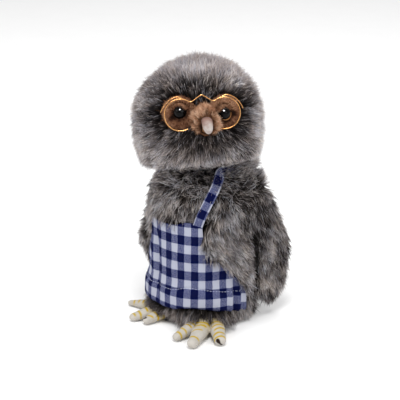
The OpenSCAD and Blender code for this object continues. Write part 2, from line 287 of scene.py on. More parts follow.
# ------------------------------------------------------------------ strands
def strands(name, P, N, D, L, lift, bend, width, tone, body, mat, rng, clumps=((12, 0.5), (80, 0.35)), frizz=0.09,
            gravity=0.0, rings=3, tone_var=(0.14, 0.16, 0.07), var=1.0, hang=None):
    """Closed three-sided tapering hairs: P roots, N normals, D combing directions, L lengths in millimetres."""
    n = len(P)
    D = unit(D - N * np.sum(D * N, axis=1, keepdims=True))
    steps = 8
    levels = {3: (0, 3, 6, 8), 2: (0, 4, 8)}[rings]
    pos = np.zeros((n, steps + 1, 3))
    pos[:, 0] = P
    for k in range(steps):
        t = (k + 0.5) / steps
        phi = lift * (1 - bend * t)
        d = np.cos(phi)[:, None] * D + np.sin(phi)[:, None] * N
        d[:, 2] -= gravity * t
        pos[:, k + 1] = pos[:, k] + unit(d) * (L / steps)[:, None]
    base = pos.copy()
    tt = np.linspace(0, 1, steps + 1)
    ctone = np.zeros(n)
    for ci, (per, k) in enumerate(clumps):
        m = max(4, n // per)
        g = rng.choice(n, size=m, replace=False)
        tree = kdtree.KDTree(m)
        for i, gi in enumerate(g):
            tree.insert(Vector(P[gi]), i)
        tree.balance()
        near = np.array([tree.find(Vector(p))[1] for p in P])
        gi = g[near]
        ok = (np.sum(N * N[gi], axis=1) > 0.3).astype(float)
        kk = np.clip(k * (0.5 + 1.0 * rng.random(m))[near] * ok, 0, 0.9)
        w = kk[:, None] * (tt ** 1.3)[None, :]
        pos = pos * (1 - w[..., None]) + base[gi] * w[..., None]
        ctone += (rng.random(m) - 0.5)[near] * 2 * tone_var[min(ci, 1)]
    fz = rng.normal(size=(n, 3)) * (frizz * L)[:, None]
    fz2 = rng.normal(size=(n, 3)) * (0.5 * frizz * L)[:, None]
    pos += fz[:, None, :] * (tt ** 1.6)[None, :, None] + fz2[:, None, :] * (np.sin(tt * 5.0) * tt)[None, :, None]
    pos[..., 2] = np.maximum(pos[..., 2], 0.35)
    u = np.clip(tone + (ctone + rng.normal(size=n) * tone_var[2]) * var, 0.01, 0.97)
    hue = np.clip(0.48 + 1.25 * (noise3(P, 2.6, 90) - 0.5) + 0.3 * (noise3(P, 8.0, 91) - 0.5) + 0.28 * rng.normal(size=n), 0, 1)
    u = (np.floor(u * LEVELS) + 0.08 + 0.74 * hue) / LEVELS
    nv = rings * 3 + 1
    V = np.zeros((n, nv, 3))
    rad = {3: (1.0, 0.9, 0.6), 2: (1.0, 0.75)}[rings]
    ref = unit(rng.normal(size=(n, 3)))
    for li in range(rings):
        a, b_ = levels[li], levels[li + 1]
        d = unit(pos[:, b_] - pos[:, max(a - 1, 0)])
        s = unit(np.cross(d, ref))
        c = np.cross(d, s)
        for k in range(3):
            an = 2 * math.pi * k / 3
            V[:, li * 3 + k] = pos[:, a] + (width * rad[li])[:, None] * (math.cos(an) * s + math.sin(an) * c)
    V[:, nv - 1] = pos[:, 8]
    f, uvk = [], []
    vt = {3: (0.02, 0.36, 0.74, 0.985), 2: (0.02, 0.5, 0.985)}[rings]
    for li in range(rings - 1):
        for k in range(3):
            k2 = (k + 1) % 3
            a, b_, c, d = li * 3 + k, li * 3 + k2, (li + 1) * 3 + k2, (li + 1) * 3 + k
            f += [(a, b_, c), (a, c, d)]
            uvk += [((0, vt[li]), (1, vt[li]), (1, vt[li + 1])), ((0, vt[li]), (1, vt[li + 1]), (0, vt[li + 1]))]
    for k in range(3):
        k2 = (k + 1) % 3
        f.append(((rings - 1) * 3 + k, (rings - 1) * 3 + k2, nv - 1))
        uvk.append(((0, vt[rings - 1]), (1, vt[rings - 1]), (0.5, vt[rings])))
    f.append((2, 1, 0))
    uvk.append(((0, 0.0), (1, 0.0), (0.5, 0.03)))
    f = np.array(f)
    uvk = np.array(uvk)
    F = (f[None] + (np.arange(n) * nv)[:, None, None]).reshape(-1, 3)
    du = 0.004
    UV = np.zeros((n, len(f), 3, 2), np.float32)
    UV[..., 0] = u[:, None, None] + du * uvk[None, :, :, 0]
    UV[..., 1] = uvk[None, :, :, 1]
    obs = []
    per_piece = 190000 // len(f)
    parts = max(1, math.ceil(n / per_piece))
    cut = np.linspace(0, n, parts + 1).astype(int)
    for i in range(parts):
        a, b_ = cut[i], cut[i + 1]
        ob = add_tris(name if parts == 1 else "%s_%d" % (name, i + 1), V[a:b_].reshape(-1, 3),
                      F[: (b_ - a) * len(f)], UV[a:b_].reshape(-1, 2), mat)
        if hang is None:
            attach(ob, body)
        else:
            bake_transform(ob)
        obs.append(ob)
    return obs


# ------------------------------------------------------------------ camera, light, floor
AZ, EL, DIST, LENS = 36.0, 20.0, 1050.0, 126.0
a, e = math.radians(AZ), math.radians(EL)
back = np.array([math.sin(a) * math.cos(e), -math.cos(a) * math.cos(e), math.sin(e)])
right = np.array([math.cos(a), math.sin(a), 0.0])
target = np.array([0.0, 0.0, 88.0]) - right * 2.6
cam_d = bpy.data.cameras.new("camera")
cam_d.lens = LENS
cam_d.sensor_width = 36.0
cam_d.clip_start = 0.05
cam_d.clip_end = 20.0
cam = bpy.data.objects.new("camera", cam_d)
bpy.context.collection.objects.link(cam)
cam.location = Vector((target + back * DIST) * MM)
cam.rotation_euler = (Vector(target * MM) - cam.location).to_track_quat("-Z", "Y").to_euler()
bpy.context.scene.camera = cam

world = bpy.data.worlds.new("studio")
bpy.context.scene.world = world
world.use_nodes = True
bg = world.node_tree.nodes.get("Background")
bg.inputs[0].default_value = (1.0, 1.0, 1.0, 1.0)
bg.inputs[1].default_value = 0.52
bpy.context.scene.view_settings.view_transform = "Standard"


def area(name, loc, size, power, aim=(0, 0, 0.1)):
    d = bpy.data.lights.new(name, "AREA")
    d.size = size
    d.energy = power
    o = bpy.data.objects.new(name, d)
    bpy.context.collection.objects.link(o)
    o.location = loc
    o.rotation_euler = (Vector(aim) - Vector(loc)).to_track_quat("-Z", "Y").to_euler()
    return o


area("key", (0.34, -0.50, 1.55), 0.55, 14.0)
sparkle = area("sparkle", (0.40, -0.62, 1.50), 0.6, 210.0)
sparkle.visible_diffuse = False
eyes_only = bpy.data.collections.new("eyes_only")
sparkle.light_linking.receiver_collection = eyes_only
wires_only = bpy.data.collections.new("wires_only")
area("glint", (0.40, -0.62, 1.50), 1.0, 32.0).light_linking.receiver_collection = wires_only
area("front", (-0.75, -1.05, 0.75), 0.8, 8.0)
area("side", (1.3, -0.35, 0.75), 0.9, 8.0)
area("rear", (-0.2, 0.7, 1.5), 0.9, 7.0)

fm, nt, b = new_mat("floor_white")
n = noise_tex(nt, 30.0, 2.0)
nt.links.new(ramp(nt, n, [(0.0, (0.93, 0.93, 0.93, 1)), (1.0, (0.96, 0.96, 0.96, 1))]), b.inputs["Base Color"])
b.inputs["Roughness"].default_value = 0.9
floor = add_mesh("floor", [(-4000, -4000, 0), (4000, -4000, 0), (4000, 4000, 0), (-4000, 4000, 0)], [(0, 1, 2, 3)], mat=fm)
floor.location.z = -0.0004

# ------------------------------------------------------------------ shared shapes (millimetres)
C = np.array([0.0, -7.0, 153.5])
MH = rot("z", 42) @ rot("x", -14) @ rot("y", -2.5)


def to_face(P):
    return (np.asarray(P) - C) @ MH


def from_face(P):
    return np.asarray(P) @ MH.T + C


def head_r(z, R=41.0, top=41.8, low=35.5, p=3.4):
    """Radius of the head's pelt at a level in the face's frame: round above, full and flat-bottomed below."""
    if z >= 0:
        return R * math.sqrt(max(0.0, 1 - (z / top) ** 2))
    return R * max(0.0, 1 - min(-z / low, 1.0) ** p) ** (1 / p)


def head_surface(nu=110, nv=80):
    V = []
    for j in range(nv):
        t = math.radians(-90 + 180 * j / (nv - 1))
        z = (41.8 if t >= 0 else 35.5) * math.sin(t)
        r = max(head_r(z), 0.05)
        for i in range(nu):
            an = 2 * math.pi * i / nu
            V.append((r * math.cos(an) + 2.2 * float(smooth(np.array(z), 12, 42)), r * math.sin(an), z))
    return from_face(np.array(V)), grid_faces(nu, nv)


# pelt of the body under its fur: radius against height
BODY = np.array([(3, 33.0), (8, 34.8), (16, 35.6), (28, 36.0), (78, 36.2), (90, 36.2), (97, 36.0), (102, 35.4), (106, 34.0), (109, 30.5),
                 (111, 25.0), (112.5, 13.0)])


def body_surface(nu=110, nv=90):
    zs = np.concatenate([[3.0], np.linspace(3, 112.5, nv), [112.5]])
    rs = np.interp(zs, BODY[:, 0], BODY[:, 1])
    rs[0] = 27.0
    rs[-1] = 12.2
    V = np.array([(r * math.cos(2 * math.pi * i / nu), r * math.sin(2 * math.pi * i / nu) - 7.0 * float(smooth(np.array(r), 26, 14)), z)
                  for z, r in zip(zs, rs) for i in range(nu)])
    # the chest stands higher than the back, under the raised chin
    al = np.arctan2(V[:, 0], -V[:, 1])
    chest = np.maximum(np.clip(np.cos(al - math.radians(25)), 0, 1), 1.0 * np.clip(np.cos(al - math.radians(118)), 0, 1))
    V[:, 2] += 5.5 * chest * smooth(V[:, 2], 94, 110)
    return V, grid_faces(nu, len(zs))


def alpha_of(P):
    """Angle round the body from the owl's front towards its left, degrees."""
    return np.degrees(np.arctan2(P[:, 0], -P[:, 1]))


# two-tone fur: dark roots, pale tips
TIPS = [(0.0, lin(40, 36, 36)), (0.2, lin(86, 80, 80)), (0.4, lin(142, 134, 134)), (0.6, lin(188, 180, 180)), (0.8, lin(218, 211, 211)),
        (1.0, lin(240, 236, 236))]
ROOT = [(0.0, lin(16, 14, 14)), (1.0, lin(54, 48, 46))]
FUR_V = [(0.0, 0.0), (0.35, 0.05), (0.6, 0.42), (0.82, 0.92), (1.0, 1.0)]
HUES = ((0.92, 0.99, 1.085, 1), (1.085, 1.005, 0.905, 1))
grey_fur = fur_mat("grey_fur", ROOT, TIPS, FUR_V, tint=HUES)
WTIPS = [(0.0, lin(40, 36, 36)), (0.2, lin(86, 81, 81)), (0.4, lin(144, 137, 137)), (0.6, lin(190, 183, 183)), (0.8, lin(218, 213, 213)),
         (1.0, lin(240, 237, 237))]
WROOT = [(0.0, lin(16, 14, 13)), (1.0, lin(54, 48, 45))]
taupe_fur = fur_mat("taupe_fur", WROOT, WTIPS, FUR_V, tint=HUES)
crown_fur = fur_mat("crown_fur", [(0.0, lin(60, 55, 55)), (1.0, lin(120, 112, 112))], TIPS, [(0.0, 0.3), (0.4, 0.6), (0.8, 1.0), (1.0, 1.0)], tint=HUES)
pelt = pelt_mat("grey_pelt", lin(14, 12, 12), lin(36, 32, 30))

# ------------------------------------------------------------------ head
rng = np.random.default_rng(SEED)
HV, HF = head_surface()
# the underside is flattened behind, so that it clears the chest when the head turns
HV[:, 2] += smooth(to_face(HV)[:, 1], -15, 5) * np.where(HV[:, 2] < 127, 0.42 * (127 - HV[:, 2]), 0)
head_pelt = add_mesh("head_pelt", HV, HF, mat=pelt)
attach(head_pelt, "head")
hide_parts("head_fur")

DISC = np.array([[14.9, 0, 5.2], [-16.0, 0, 6.6]])
MUZ = np.array([1.3, -43.0, 1.4])


def face_window(Q):
    """Distance, millimetres, outside the eye discs and the muzzle, for points in the face's frame."""
    d = np.full(len(Q), 1e3)
    for s in (0, 1):
        d = np.minimum(d, np.hypot(Q[:, 0] - DISC[s, 0], Q[:, 2] - DISC[s, 2]) - 11.3)
    d = np.minimum(d, np.hypot(Q[:, 0] - MUZ[0], Q[:, 2] - MUZ[2]) - 8.5)
    return np.where(Q[:, 1] < 0, d, 60.0)


P, N = sample(HV, HF, 60000, rng, lambda P, N: face_window(to_face(P)) > 0.0)
Q = to_face(P)
k = Q[:, 2] > -35.0
P, N, Q = P[k], N[k], Q[k]
fd = face_window(Q)
away = np.zeros_like(Q)
for c, w0 in ((DISC[0], 1.0), (DISC[1], 1.0), (np.array([0, 0, -1.0]), 0.8)):
    v = Q - (c + np.array([0, -38.0, 0]))
    away += w0 * v / np.maximum(np.sum(v * v, axis=1, keepdims=True), 1.0)
away = unit(away)
radial = unit(np.stack([Q[:, 0], Q[:, 1], 0 * Q[:, 0]], 1))
front = smooth(Q[:, 1], 14.0, -20.0)[:, None]
D = away * front + np.array([0, 0, -1.0]) * (1 - front)
low = smooth(Q[:, 2], -22, -33)[:, None]
D = unit(D * (1 - low) + (radial - np.array([0, 0, 0.35])) * low)
D = unit((D + 0.30 * rng.normal(size=P.shape))) @ MH.T
L = 12.4 * (0.55 + 0.45 * smooth(fd, 0, 13)) * (0.78 + 0.38 * rng.random(len(P))) * (1 - 0.06 * smooth(Q[:, 2], 20, 40)) * (1 - (0.2 + 0.16 * smooth(Q[:, 0], -8, 8)) * low[:, 0])
lift = np.radians(38 + 22 * smooth(fd, 13, 0) + 9 * rng.normal(size=len(P)) - 16 * low[:, 0])
fe = (np.hypot(Q[:, 0] / 27.0, (Q[:, 2] - 4.5) / 15.0) - 1) * 18.0
far = smooth(np.where(Q[:, 1] < 0, np.minimum(fd, fe + 1.0), 60.0), 2, 17)
brow = np.exp(-((Q[:, 0] + 18.5 - 0.3 * (Q[:, 2] - 23)) / 5.5) ** 2 - ((Q[:, 2] - 22.5 + 0.25 * (Q[:, 0] + 18.5)) / 2.6) ** 2)
brow = (brow + np.exp(-((Q[:, 0] - 20.0) / 5.5) ** 2 - ((Q[:, 2] - 20.0 - 0.25 * (Q[:, 0] - 20)) / 2.4) ** 2)) * (Q[:, 1] < 0)
crown = smooth(Q[:, 2], 20, 32)
rbrow = np.exp(-((Q[:, 0] - 17) / 9.0) ** 2 - ((Q[:, 2] - 21) / 6.0) ** 2) * (Q[:, 1] < 0)
cheek = smooth(np.abs(Q[:, 0] - 1), 24, 36) * (Q[:, 1] < 12) * smooth(Q[:, 2], 24, 12)
flat = 1 - 0.75 * crown
# the cheek on the owl's left (x above 0) is painted paler: painted light that evens out the shade the lamps leave on
# that side
tone = (0.17 + 0.45 * far + (0.34 * (noise3(P, 12, 3) - 0.5) + 0.44 * (noise3(P, 5, 4) - 0.5) * (0.6 + 0.4 * far)) * flat
        - 0.05 * crown - 0.06 * smooth(Q[:, 1], 0, 30) + 0.34 * brow + 0.43 * rbrow + 0.05 * cheek + 0.27 * cheek * (Q[:, 0] > 0))
jowl = smooth(Q[:, 2], -14, -24) * (Q[:, 1] < 20)
for x0, z0, sx, sz, amount in ((24, -19, 7, 7, -0.32), (-14, -12, 5, 6, -0.20), (29, 11, 7, 6, -0.36), (-24, 24, 8, 8, -0.22), (0, 27, 10, 4, 0.28),
                               (-38, 17, 5, 8, 0.26), (40, -8, 9, 10, 0.16), (-1, -17, 7, 4, 0.28), (13, -19, 6, 4, 0.22), (-27, -14, 7, 7, 0.24),
                               (-28, 4, 5, 6, -0.26), (-4, 14, 9, 6, -0.17), (36, 24, 5, 7, 0.22), (31, -9, 5, 7, 0.15), (-3, 36, 12, 4, -0.12)):
    tone += amount * np.exp(-((Q[:, 0] - x0) / sx) ** 2 - ((Q[:, 2] - z0) / sz) ** 2) * (Q[:, 1] < 8)
tone += jowl * (-0.13 + 0.42 * (noise3(P, 3.4, 8) - 0.5)) + 0.55 * cheek * (noise3(P, 6, 14) - 0.5)
pale = rng.random(len(P)) < (0.13 + 0.13 * far) * flat * (1 - 0.35 * jowl)
tone = np.where(pale, np.maximum(tone, 0.60 + 0.22 * far), tone)
lift = lift - np.radians(12) * crown
lay = unit(D - N * np.sum(D * N, axis=1, keepdims=True))
fall = ((lay * np.cos(0.78 * lift)[:, None] + N * np.sin(0.78 * lift)[:, None]) @ MH)[:, 2]
room = (Q[:, 2] + 35.5 - 3.4 * smooth(Q[:, 0], -26, -8)) / np.maximum(-fall, 0.05)
L = np.where((fall < -0.05) & (Q[:, 1] < 8), np.clip(room, 2.5, np.maximum(L, 2.5)), L)
drop = (lay * np.cos(0.78 * lift)[:, None] + N * np.sin(0.78 * lift)[:, None])[:, 2]
L = np.where((drop < -0.05) & (Q[:, 1] >= 8), np.clip((P[:, 2] - 118.5) / np.maximum(-drop, 0.05), 2.5, np.maximum(L, 2.5)), L)
wide = 0.14 + 0.09 * rng.random(len(P))
top = rng.random(len(P)) < crown * 0.97
for nm, k, mt, cl in (("head_hair", ~top, grey_fur, ((6, 0.8), (48, 0.28))), ("head_crown_hair", top, crown_fur, ((8, 0.6), (70, 0.2)))):
    strands(nm, P[k], N[k], D[k], L[k], lift[k], 0.45, wide[k], tone[k], "head", mt, rng, clumps=cl, tone_var=(0.22, 0.17, 0.08), var=(flat * (1 + 0.5 * jowl))[k])

# eye discs: short brown pile, airbrushed darker beside the eyes
brown_tips = [(0.0, lin(36, 23, 18)), (0.3, lin(104, 68, 51)), (0.6, lin(152, 106, 80)), (1.0, lin(200, 156, 124))]
brown_fur = fur_mat("brown_pile", [(0.0, lin(30, 19, 13)), (1.0, lin(112, 76, 52))], brown_tips, [(0, 0.15), (0.5, 0.8), (1, 1.0)])
brown_pelt = pelt_mat("brown_felt", lin(40, 25, 17), lin(74, 48, 34), 900.0)
EYE = {1: (21.3, 6.0), -1: (23.0, 10.3)}
for s, side in ((1, "left"), (-1, "right")):
    ax = rot("z", s * EYE[s][0]) @ rot("x", -EYE[s][1])
    eye_c = ax @ np.array([0, -42.0, 0])
    nr, na = 14, 64
    dx, dz = DISC[0 if s > 0 else 1, 0], DISC[0 if s > 0 else 1, 2]
    V = []
    for j in range(nr):
        r = 12.8 * j / (nr - 1)
        for i in range(na):
            an = 2 * math.pi * i / na
            x, z = dx + max(r, 0.02) * math.cos(an), dz + max(r, 0.02) * math.sin(an)
            R = 42.0 - 1.4 * float(smooth(np.array(r), 9.5, 12.8))
            V.append((x, -math.sqrt(max(R * R - x * x - z * z, 1.0)), z))
    top = np.array(V)
    VV = np.concatenate([top, top * (1 - 1.4 / 42.0)])
    FF = []
    for j in range(nr - 1):
        for i in range(na):
            p0, p1 = j * na + i, j * na + (i + 1) % na
            FF.append((p0, p1, p1 + na, p0 + na))
            q0, q1 = p0 + nr * na, p1 + nr * na
            FF.append((q0, q0 + na, q1 + na, q1))
    for i in range(na):
        p0, p1 = (nr - 1) * na + i, (nr - 1) * na + (i + 1) % na
        FF.append((p0, p1, p1 + nr * na, p0 + nr * na))
    disc = add_mesh("face_disc_" + side + "_felt", from_face(VV), FF, mat=brown_pelt)
    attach(disc, "head")
    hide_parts("face_disc_" + side)
    r2 = np.random.default_rng(SEED + 5 + s)
    Pd, Nd = sample(from_face(top), [f for f in FF if max(f) < nr * na], 6500, r2)
    Nd = np.where(np.sum(Nd * (Pd - C), axis=1, keepdims=True) < 0, -Nd, Nd)
    Qd = to_face(Pd)
    ex, ez = Qd[:, 0] - eye_c[0], Qd[:, 2] - eye_c[2]
    er = np.hypot(ex, ez)
    Dd = unit(np.stack([ex, 0 * ex, ez], 1)) @ MH.T
    sd = unit(np.array([1.0, -0.12])) if s > 0 else unit(np.array([-0.80, -0.6]))
    along = ex * sd[0] + ez * sd[1]
    across = np.abs(-ex * sd[1] + ez * sd[0])
    streak = smooth(across, 2.2, 0.6) * smooth(along, 4.0, 5.0) * smooth(along, 10.0, 6.5)
    td = 0.61 - 0.05 * s + 0.14 * (s < 0) * smooth(ex, -4, -8) + 0.26 * (s > 0) * smooth(Qd[:, 2] - dz, 1.5, 7) - 0.12 * (s < 0) * smooth(Qd[:, 2] - dz, -3, -8) + 0.40 * (noise3(Pd, 4, 9) - 0.5) + 0.24 * (noise3(Pd, 1.6, 10) - 0.5) - 0.42 * smooth(er, 7.0, 5.0) - 0.55 * streak - 0.34 * smooth(np.hypot(Qd[:, 0] - dx, Qd[:, 2] - dz), 9.8, 12.4)
    keep = er > 4.4
    m = int(keep.sum())
    # the pile just above the eye falls over its top, like a lid
    lid = (smooth(er, 6.6, 6.2) * smooth(ez, 1.0, 2.2))[keep]
    Dd = Dd[keep] * (1 - 2 * lid)[:, None]
    td = td[keep] + lid * 0.30
    strands("face_pile_" + side, Pd[keep], Nd[keep], Dd, (1.5 + 0.7 * r2.random(m)) * (1 + 0.75 * lid), np.radians((36 + 9 * r2.normal(size=m)) * (1 - lid) + 76 * lid), 0.4 + 0.3 * lid,
            0.13 + 0.05 * r2.random(m), td, "head", brown_fur, r2, clumps=((7, 0.55),), frizz=0.16, rings=2, tone_var=(0.16, 0.0, 0.06))

# muzzle: fluffy tan tuft
tan_fur = fur_mat("tan_pile", [(0.0, lin(40, 25, 17)), (1.0, lin(104, 70, 49))],
                  [(0.0, lin(70, 44, 31)), (0.4, lin(158, 112, 84)), (0.7, lin(202, 156, 124)), (1.0, lin(236, 202, 174))],
                  [(0, 0.0), (0.35, 0.25), (0.7, 0.85), (1, 1.0)])
tan_pelt = pelt_mat("tan_felt", lin(96, 64, 43), lin(140, 100, 70), 500.0)
nu, nv = 48, 32
V = []
for j in range(nv):
    t = math.pi * j / (nv - 1)
    r = max(math.sin(t), 0.004)
    for i in range(nu):
        an = 2 * math.pi * i / nu
        zz = 8.7 * r * math.sin(an)
        V.append((MUZ[0] - 0.3 + (6.6 - 0.14 * zz) * r * math.cos(an) - 0.10 * zz, MUZ[1] - 7.8 * math.cos(t), MUZ[2] - 1.5 + zz))
V = from_face(np.array(V))
F = grid_faces(nu, nv)
muzzle = add_mesh("muzzle_pelt", V, F, mat=tan_pelt)
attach(muzzle, "head")
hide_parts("muzzle")
r2 = np.random.default_rng(SEED + 11)
P, N = sample(V, F, 9500, r2)
Q = to_face(P) - np.array([MUZ[0], 0, 0])
N = np.where(np.sum(N * (P - from_face(MUZ[None])), axis=1, keepdims=True) < 0, -N, N)
k = Q[:, 1] < -41.5
k &= ~((np.abs(Q[:, 0] + 0.1) < 3.2) & (Q[:, 2] < -1.2) & (Q[:, 2] > -8.4) & (Q[:, 1] < -46))
P, N, Q = P[k], N[k], Q[k]
Dm = unit(np.stack([Q[:, 0], 0 * Q[:, 0] + 1.2, Q[:, 2] + 1.5], 1)) @ MH.T
by_beak = np.hypot(Q[:, 0] + 0.1, np.maximum(np.abs(Q[:, 2] + 3.6) - 2.6, 0))
Lm = 5.7 * (0.55 + 0.7 * r2.random(len(P))) * (0.48 + 0.52 * smooth(by_beak, 3.0, 5.8))
# the tuft gets darker close to the beak: partly the dark fur round the beak's top, partly painted shade where the
# beak meets the tuft
strands("muzzle_tuft_hair", P, N, Dm + 0.25 * r2.normal(size=P.shape), Lm, np.radians(54 + 16 * r2.normal(size=len(P))), 0.5,
        0.12 + 0.06 * r2.random(len(P)), 0.66 + 0.42 * (noise3(P, 4, 21) - 0.5) - 0.08 * smooth(Q[:, 2], 1, 6) - 0.5 * smooth(by_beak, 4.5, 3.5),
        "head", tan_fur, r2, clumps=((16, 0.95), (70, 0.35)), frizz=0.12, tone_var=(0.27, 0.12, 0.08))

# beak
m, nt, b = new_mat("beak_cloth")
at = nt.nodes.new("ShaderNodeAttribute")
at.attribute_name = "stain_and_shade"
fine = noise_tex(nt, 1500.0, 3.0)
soft = noise_tex(nt, 260.0, 4.0)
base = ramp(nt, at.outputs["Fac"], [(0.0, lin(74, 44, 34)), (0.16, lin(108, 74, 62)), (0.36, lin(148, 130, 122)), (0.6, lin(176, 167, 161)), (1.0, lin(184, 177, 172))])
col = mix_rgb(nt, ramp(nt, soft, [(0.38, (0, 0, 0, 1)), (0.7, (0.85, 0.85, 0.85, 1))]), base, lin(126, 98, 89))
nt.links.new(col, b.inputs["Base Color"])
b.inputs["Roughness"].default_value = 0.7
bump(nt, b, fine, 0.35, 0.0003)
nu, nv = 40, 36
V, stain_and_shade = [], []
for j in range(nv):
    t = j / (nv - 1)
    prof = float(np.interp(t, [0, 0.012, 0.04, 0.09, 0.18, 0.3, 0.5, 0.7, 0.85, 0.93, 0.98, 1], [0, 0.3, 0.55, 0.77, 0.94, 1.0, 0.96, 0.84, 0.65, 0.46, 0.24, 0]))
    z = 3.4 - 12.2 * t
    for i in range(nu):
        an = 2 * math.pi * i / nu
        V.append((MUZ[0] - 0.1 + 1.0 * (t - 0.5) + 3.9 * prof * math.cos(an), -53.0 - 0.15 * (3.4 - z) - 4.0 * prof * math.sin(an) + 1.5 * (t - 0.5) ** 2 * 4, z))
        # dark at the top, where the cloth has a brown stain, and darker towards the left and right sides: painted
        # shade of the rounded beak, leaving a paler middle
        stain_and_shade.append(min(1.0, max(0.0, 1.15 * t - 0.28 * abs(math.cos(an)) ** 3 + 0.05)))
V = np.array(V)
V[:nu] = V[:nu].mean(0)
V[-nu:] = V[-nu:].mean(0)
beak = add_mesh("beak_cloth", from_face(V), grid_faces(nu, nv), mat=m)
lay = beak.data.attributes.new("stain_and_shade", "FLOAT", "POINT")
lay.data.foreach_set("value", np.array(stain_and_shade, np.float32)[: len(beak.data.vertices)])
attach(beak, "head")
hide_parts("beak")

# eyes: polished black domes, amber at the lower outer edge of their backs
em, nt, b = new_mat("eye_black")
n = noise_tex(nt, 400.0, 2.0)
nt.links.new(ramp(nt, n, [(0.0, lin(2, 2, 2)), (1.0, lin(5, 4, 4))]), b.inputs["Base Color"])
b.inputs["Roughness"].default_value = 0.025
b.inputs["IOR"].default_value = 1.2
am, nt, b = new_mat("eye_amber")
n = noise_tex(nt, 900.0, 2.0)
nt.links.new(ramp(nt, n, [(0.2, lin(120, 70, 24)), (0.8, lin(190, 130, 60))]), b.inputs["Base Color"])
b.inputs["Roughness"].default_value = 0.3
for s, side in ((1, "left"), (-1, "right")):
    ax = rot("z", s * EYE[s][0]) @ rot("x", -EYE[s][1]) @ rot("x", 90)
    prof = [(0.02, 46.0), (1.1, 45.85), (2.2, 45.35), (3.1, 44.7), (4.0, 43.8), (4.6, 42.85), (4.95, 41.9), (4.95, 41.2), (1.5, 41.0), (1.5, 28.0),
            (0.02, 28.0)]
    nu = 48
    V = [(r * math.cos(2 * math.pi * i / nu), r * math.sin(2 * math.pi * i / nu), h) for r, h in prof for i in range(nu)]
    eye = add_mesh("eye_" + side + "_dome", from_face(np.array(V) @ ax.T), [f[::-1] for f in grid_faces(nu, len(prof))], mat=em)
    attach(eye, "head")
    eyes_only.objects.link(eye)
    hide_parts("eye_" + side)
    if s < 0:
        continue
    V = []
    nm = 12
    for j in range(nm):
        t = 2 * math.pi * j / nm
        for i in range(nu):
            an = 2 * math.pi * i / nu
            r = 4.2 + 0.36 * math.cos(t)
            V.append((0.52 + r * math.cos(an), -0.66 + r * math.sin(an), 42.2 + 0.42 * math.sin(t)))
    F = [(j * nu + i, j * nu + (i + 1) % nu, ((j + 1) % nm) * nu + (i + 1) % nu, ((j + 1) % nm) * nu + i) for j in range(nm) for i in range(nu)]
    ring = add_mesh("eye_" + side + "_ring", from_face(np.array(V) @ ax.T), F, mat=am)
    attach(ring, "head")

# ------------------------------------------------------------------ spectacles
gm, nt, b = new_mat("gold_wire")
n = noise_tex(nt, 90.0, 2.0)
nt.links.new(ramp(nt, n, [(0.3, lin(176, 124, 74)), (0.7, lin(206, 156, 102))]), b.inputs["Base Color"])
b.inputs["Metallic"].default_value = 1.0
nt.links.new(ramp(nt, n, [(0.0, (0.14, 0.14, 0.14, 1)), (1.0, (0.22, 0.22, 0.22, 1))]), b.inputs["Roughness"])


def wire(name, pts, r, body, node, mat):
    cu = bpy.data.curves.new(name, "CURVE")
    cu.dimensions = "3D"
    cu.bevel_depth = r * MM
    cu.bevel_resolution = 3
    cu.use_fill_caps = True
    sp = cu.splines.new("POLY")
    sp.points.add(len(pts) - 1)
    pts = np.array(pts, float)
    tilt = math.radians(-1.3)
    x, z = pts[:, 0].copy(), pts[:, 2] - RZ
    pts[:, 0] = x * math.cos(tilt) - z * math.sin(tilt) - 1.0
    pts[:, 2] = RZ + x * math.sin(tilt) + z * math.cos(tilt)
    W = from_face(pts) * MM
    for i, p in enumerate(W):
        sp.points[i].co = (p[0], p[1], p[2], 1)
    sp.use_smooth = True
    ob = bpy.data.objects.new(name, cu)
    bpy.context.collection.objects.link(ob)
    cu.materials.append(mat)
    wires_only.objects.link(ob)
    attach(ob, body)
    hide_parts(node)
    return ob


def rounded(pts, n=6):
    """Catmull-Rom through points."""
    p = np.array([2 * np.array(pts[0]) - np.array(pts[1])] + list(pts) + [2 * np.array(pts[-1]) - np.array(pts[-2])], float)
    out = []
    for i in range(1, len(p) - 2):
        for k in range(n):
            t = k / n
            out.append(0.5 * ((2 * p[i]) + (-p[i - 1] + p[i + 1]) * t + (2 * p[i - 1] - 5 * p[i] + 4 * p[i + 1] - p[i + 2]) * t * t
                              + (-p[i - 1] + 3 * p[i] - 3 * p[i + 1] + p[i + 2]) * t ** 3))
    out.append(p[-2])
    return np.array(out)


RX, RY, RZ, RR = 15.5, -45.0, 5.2, 11.1


def rim(a, r=RR):
    return (RX + r * math.cos(math.radians(a)), RY, RZ + r * math.sin(math.radians(a)))


half = [rim(-116 + i * (238 / 40)) for i in range(41)] + [(8.4, RY, RZ + 8.9), (7.3, RY, RZ + 8.9), (5.0, RY, RZ + 10.3), (2.2, RY, RZ + 12.2), (0.7, RY, RZ + 13.1)]
full = half + [(0, RY, RZ + 13.3)] + [(-x, y, z) for x, y, z in reversed(half)]
wire("spectacle_wire", rounded(full, 3), 0.39, "spectacles", "spectacle_rims", gm)
arm = [rim(95 - i * 5.1, RR + 0.9 + 0.9 * min(i / 3.0, 1.0)) for i in range(11)] + [rim(32, RR + 1.9)]
x, y, z = rim(20, RR + 2.2)
arm.append((x, RY + 1.0, z))
x, y, z = rim(10, RR + 2.6)
arm += [(x, RY + 3.0, z), (29.2, -37.0, 8.3), (32.3, -25, 8.5), (40.0, -3, 7)]
wire("temple_left_wire", rounded(arm, 4), 0.34, "spectacles", "temple_left", gm)
wire("temple_right_wire", rounded([(-x, y, z) for x, y, z in arm], 4), 0.34, "spectacles", "temple_right", gm)

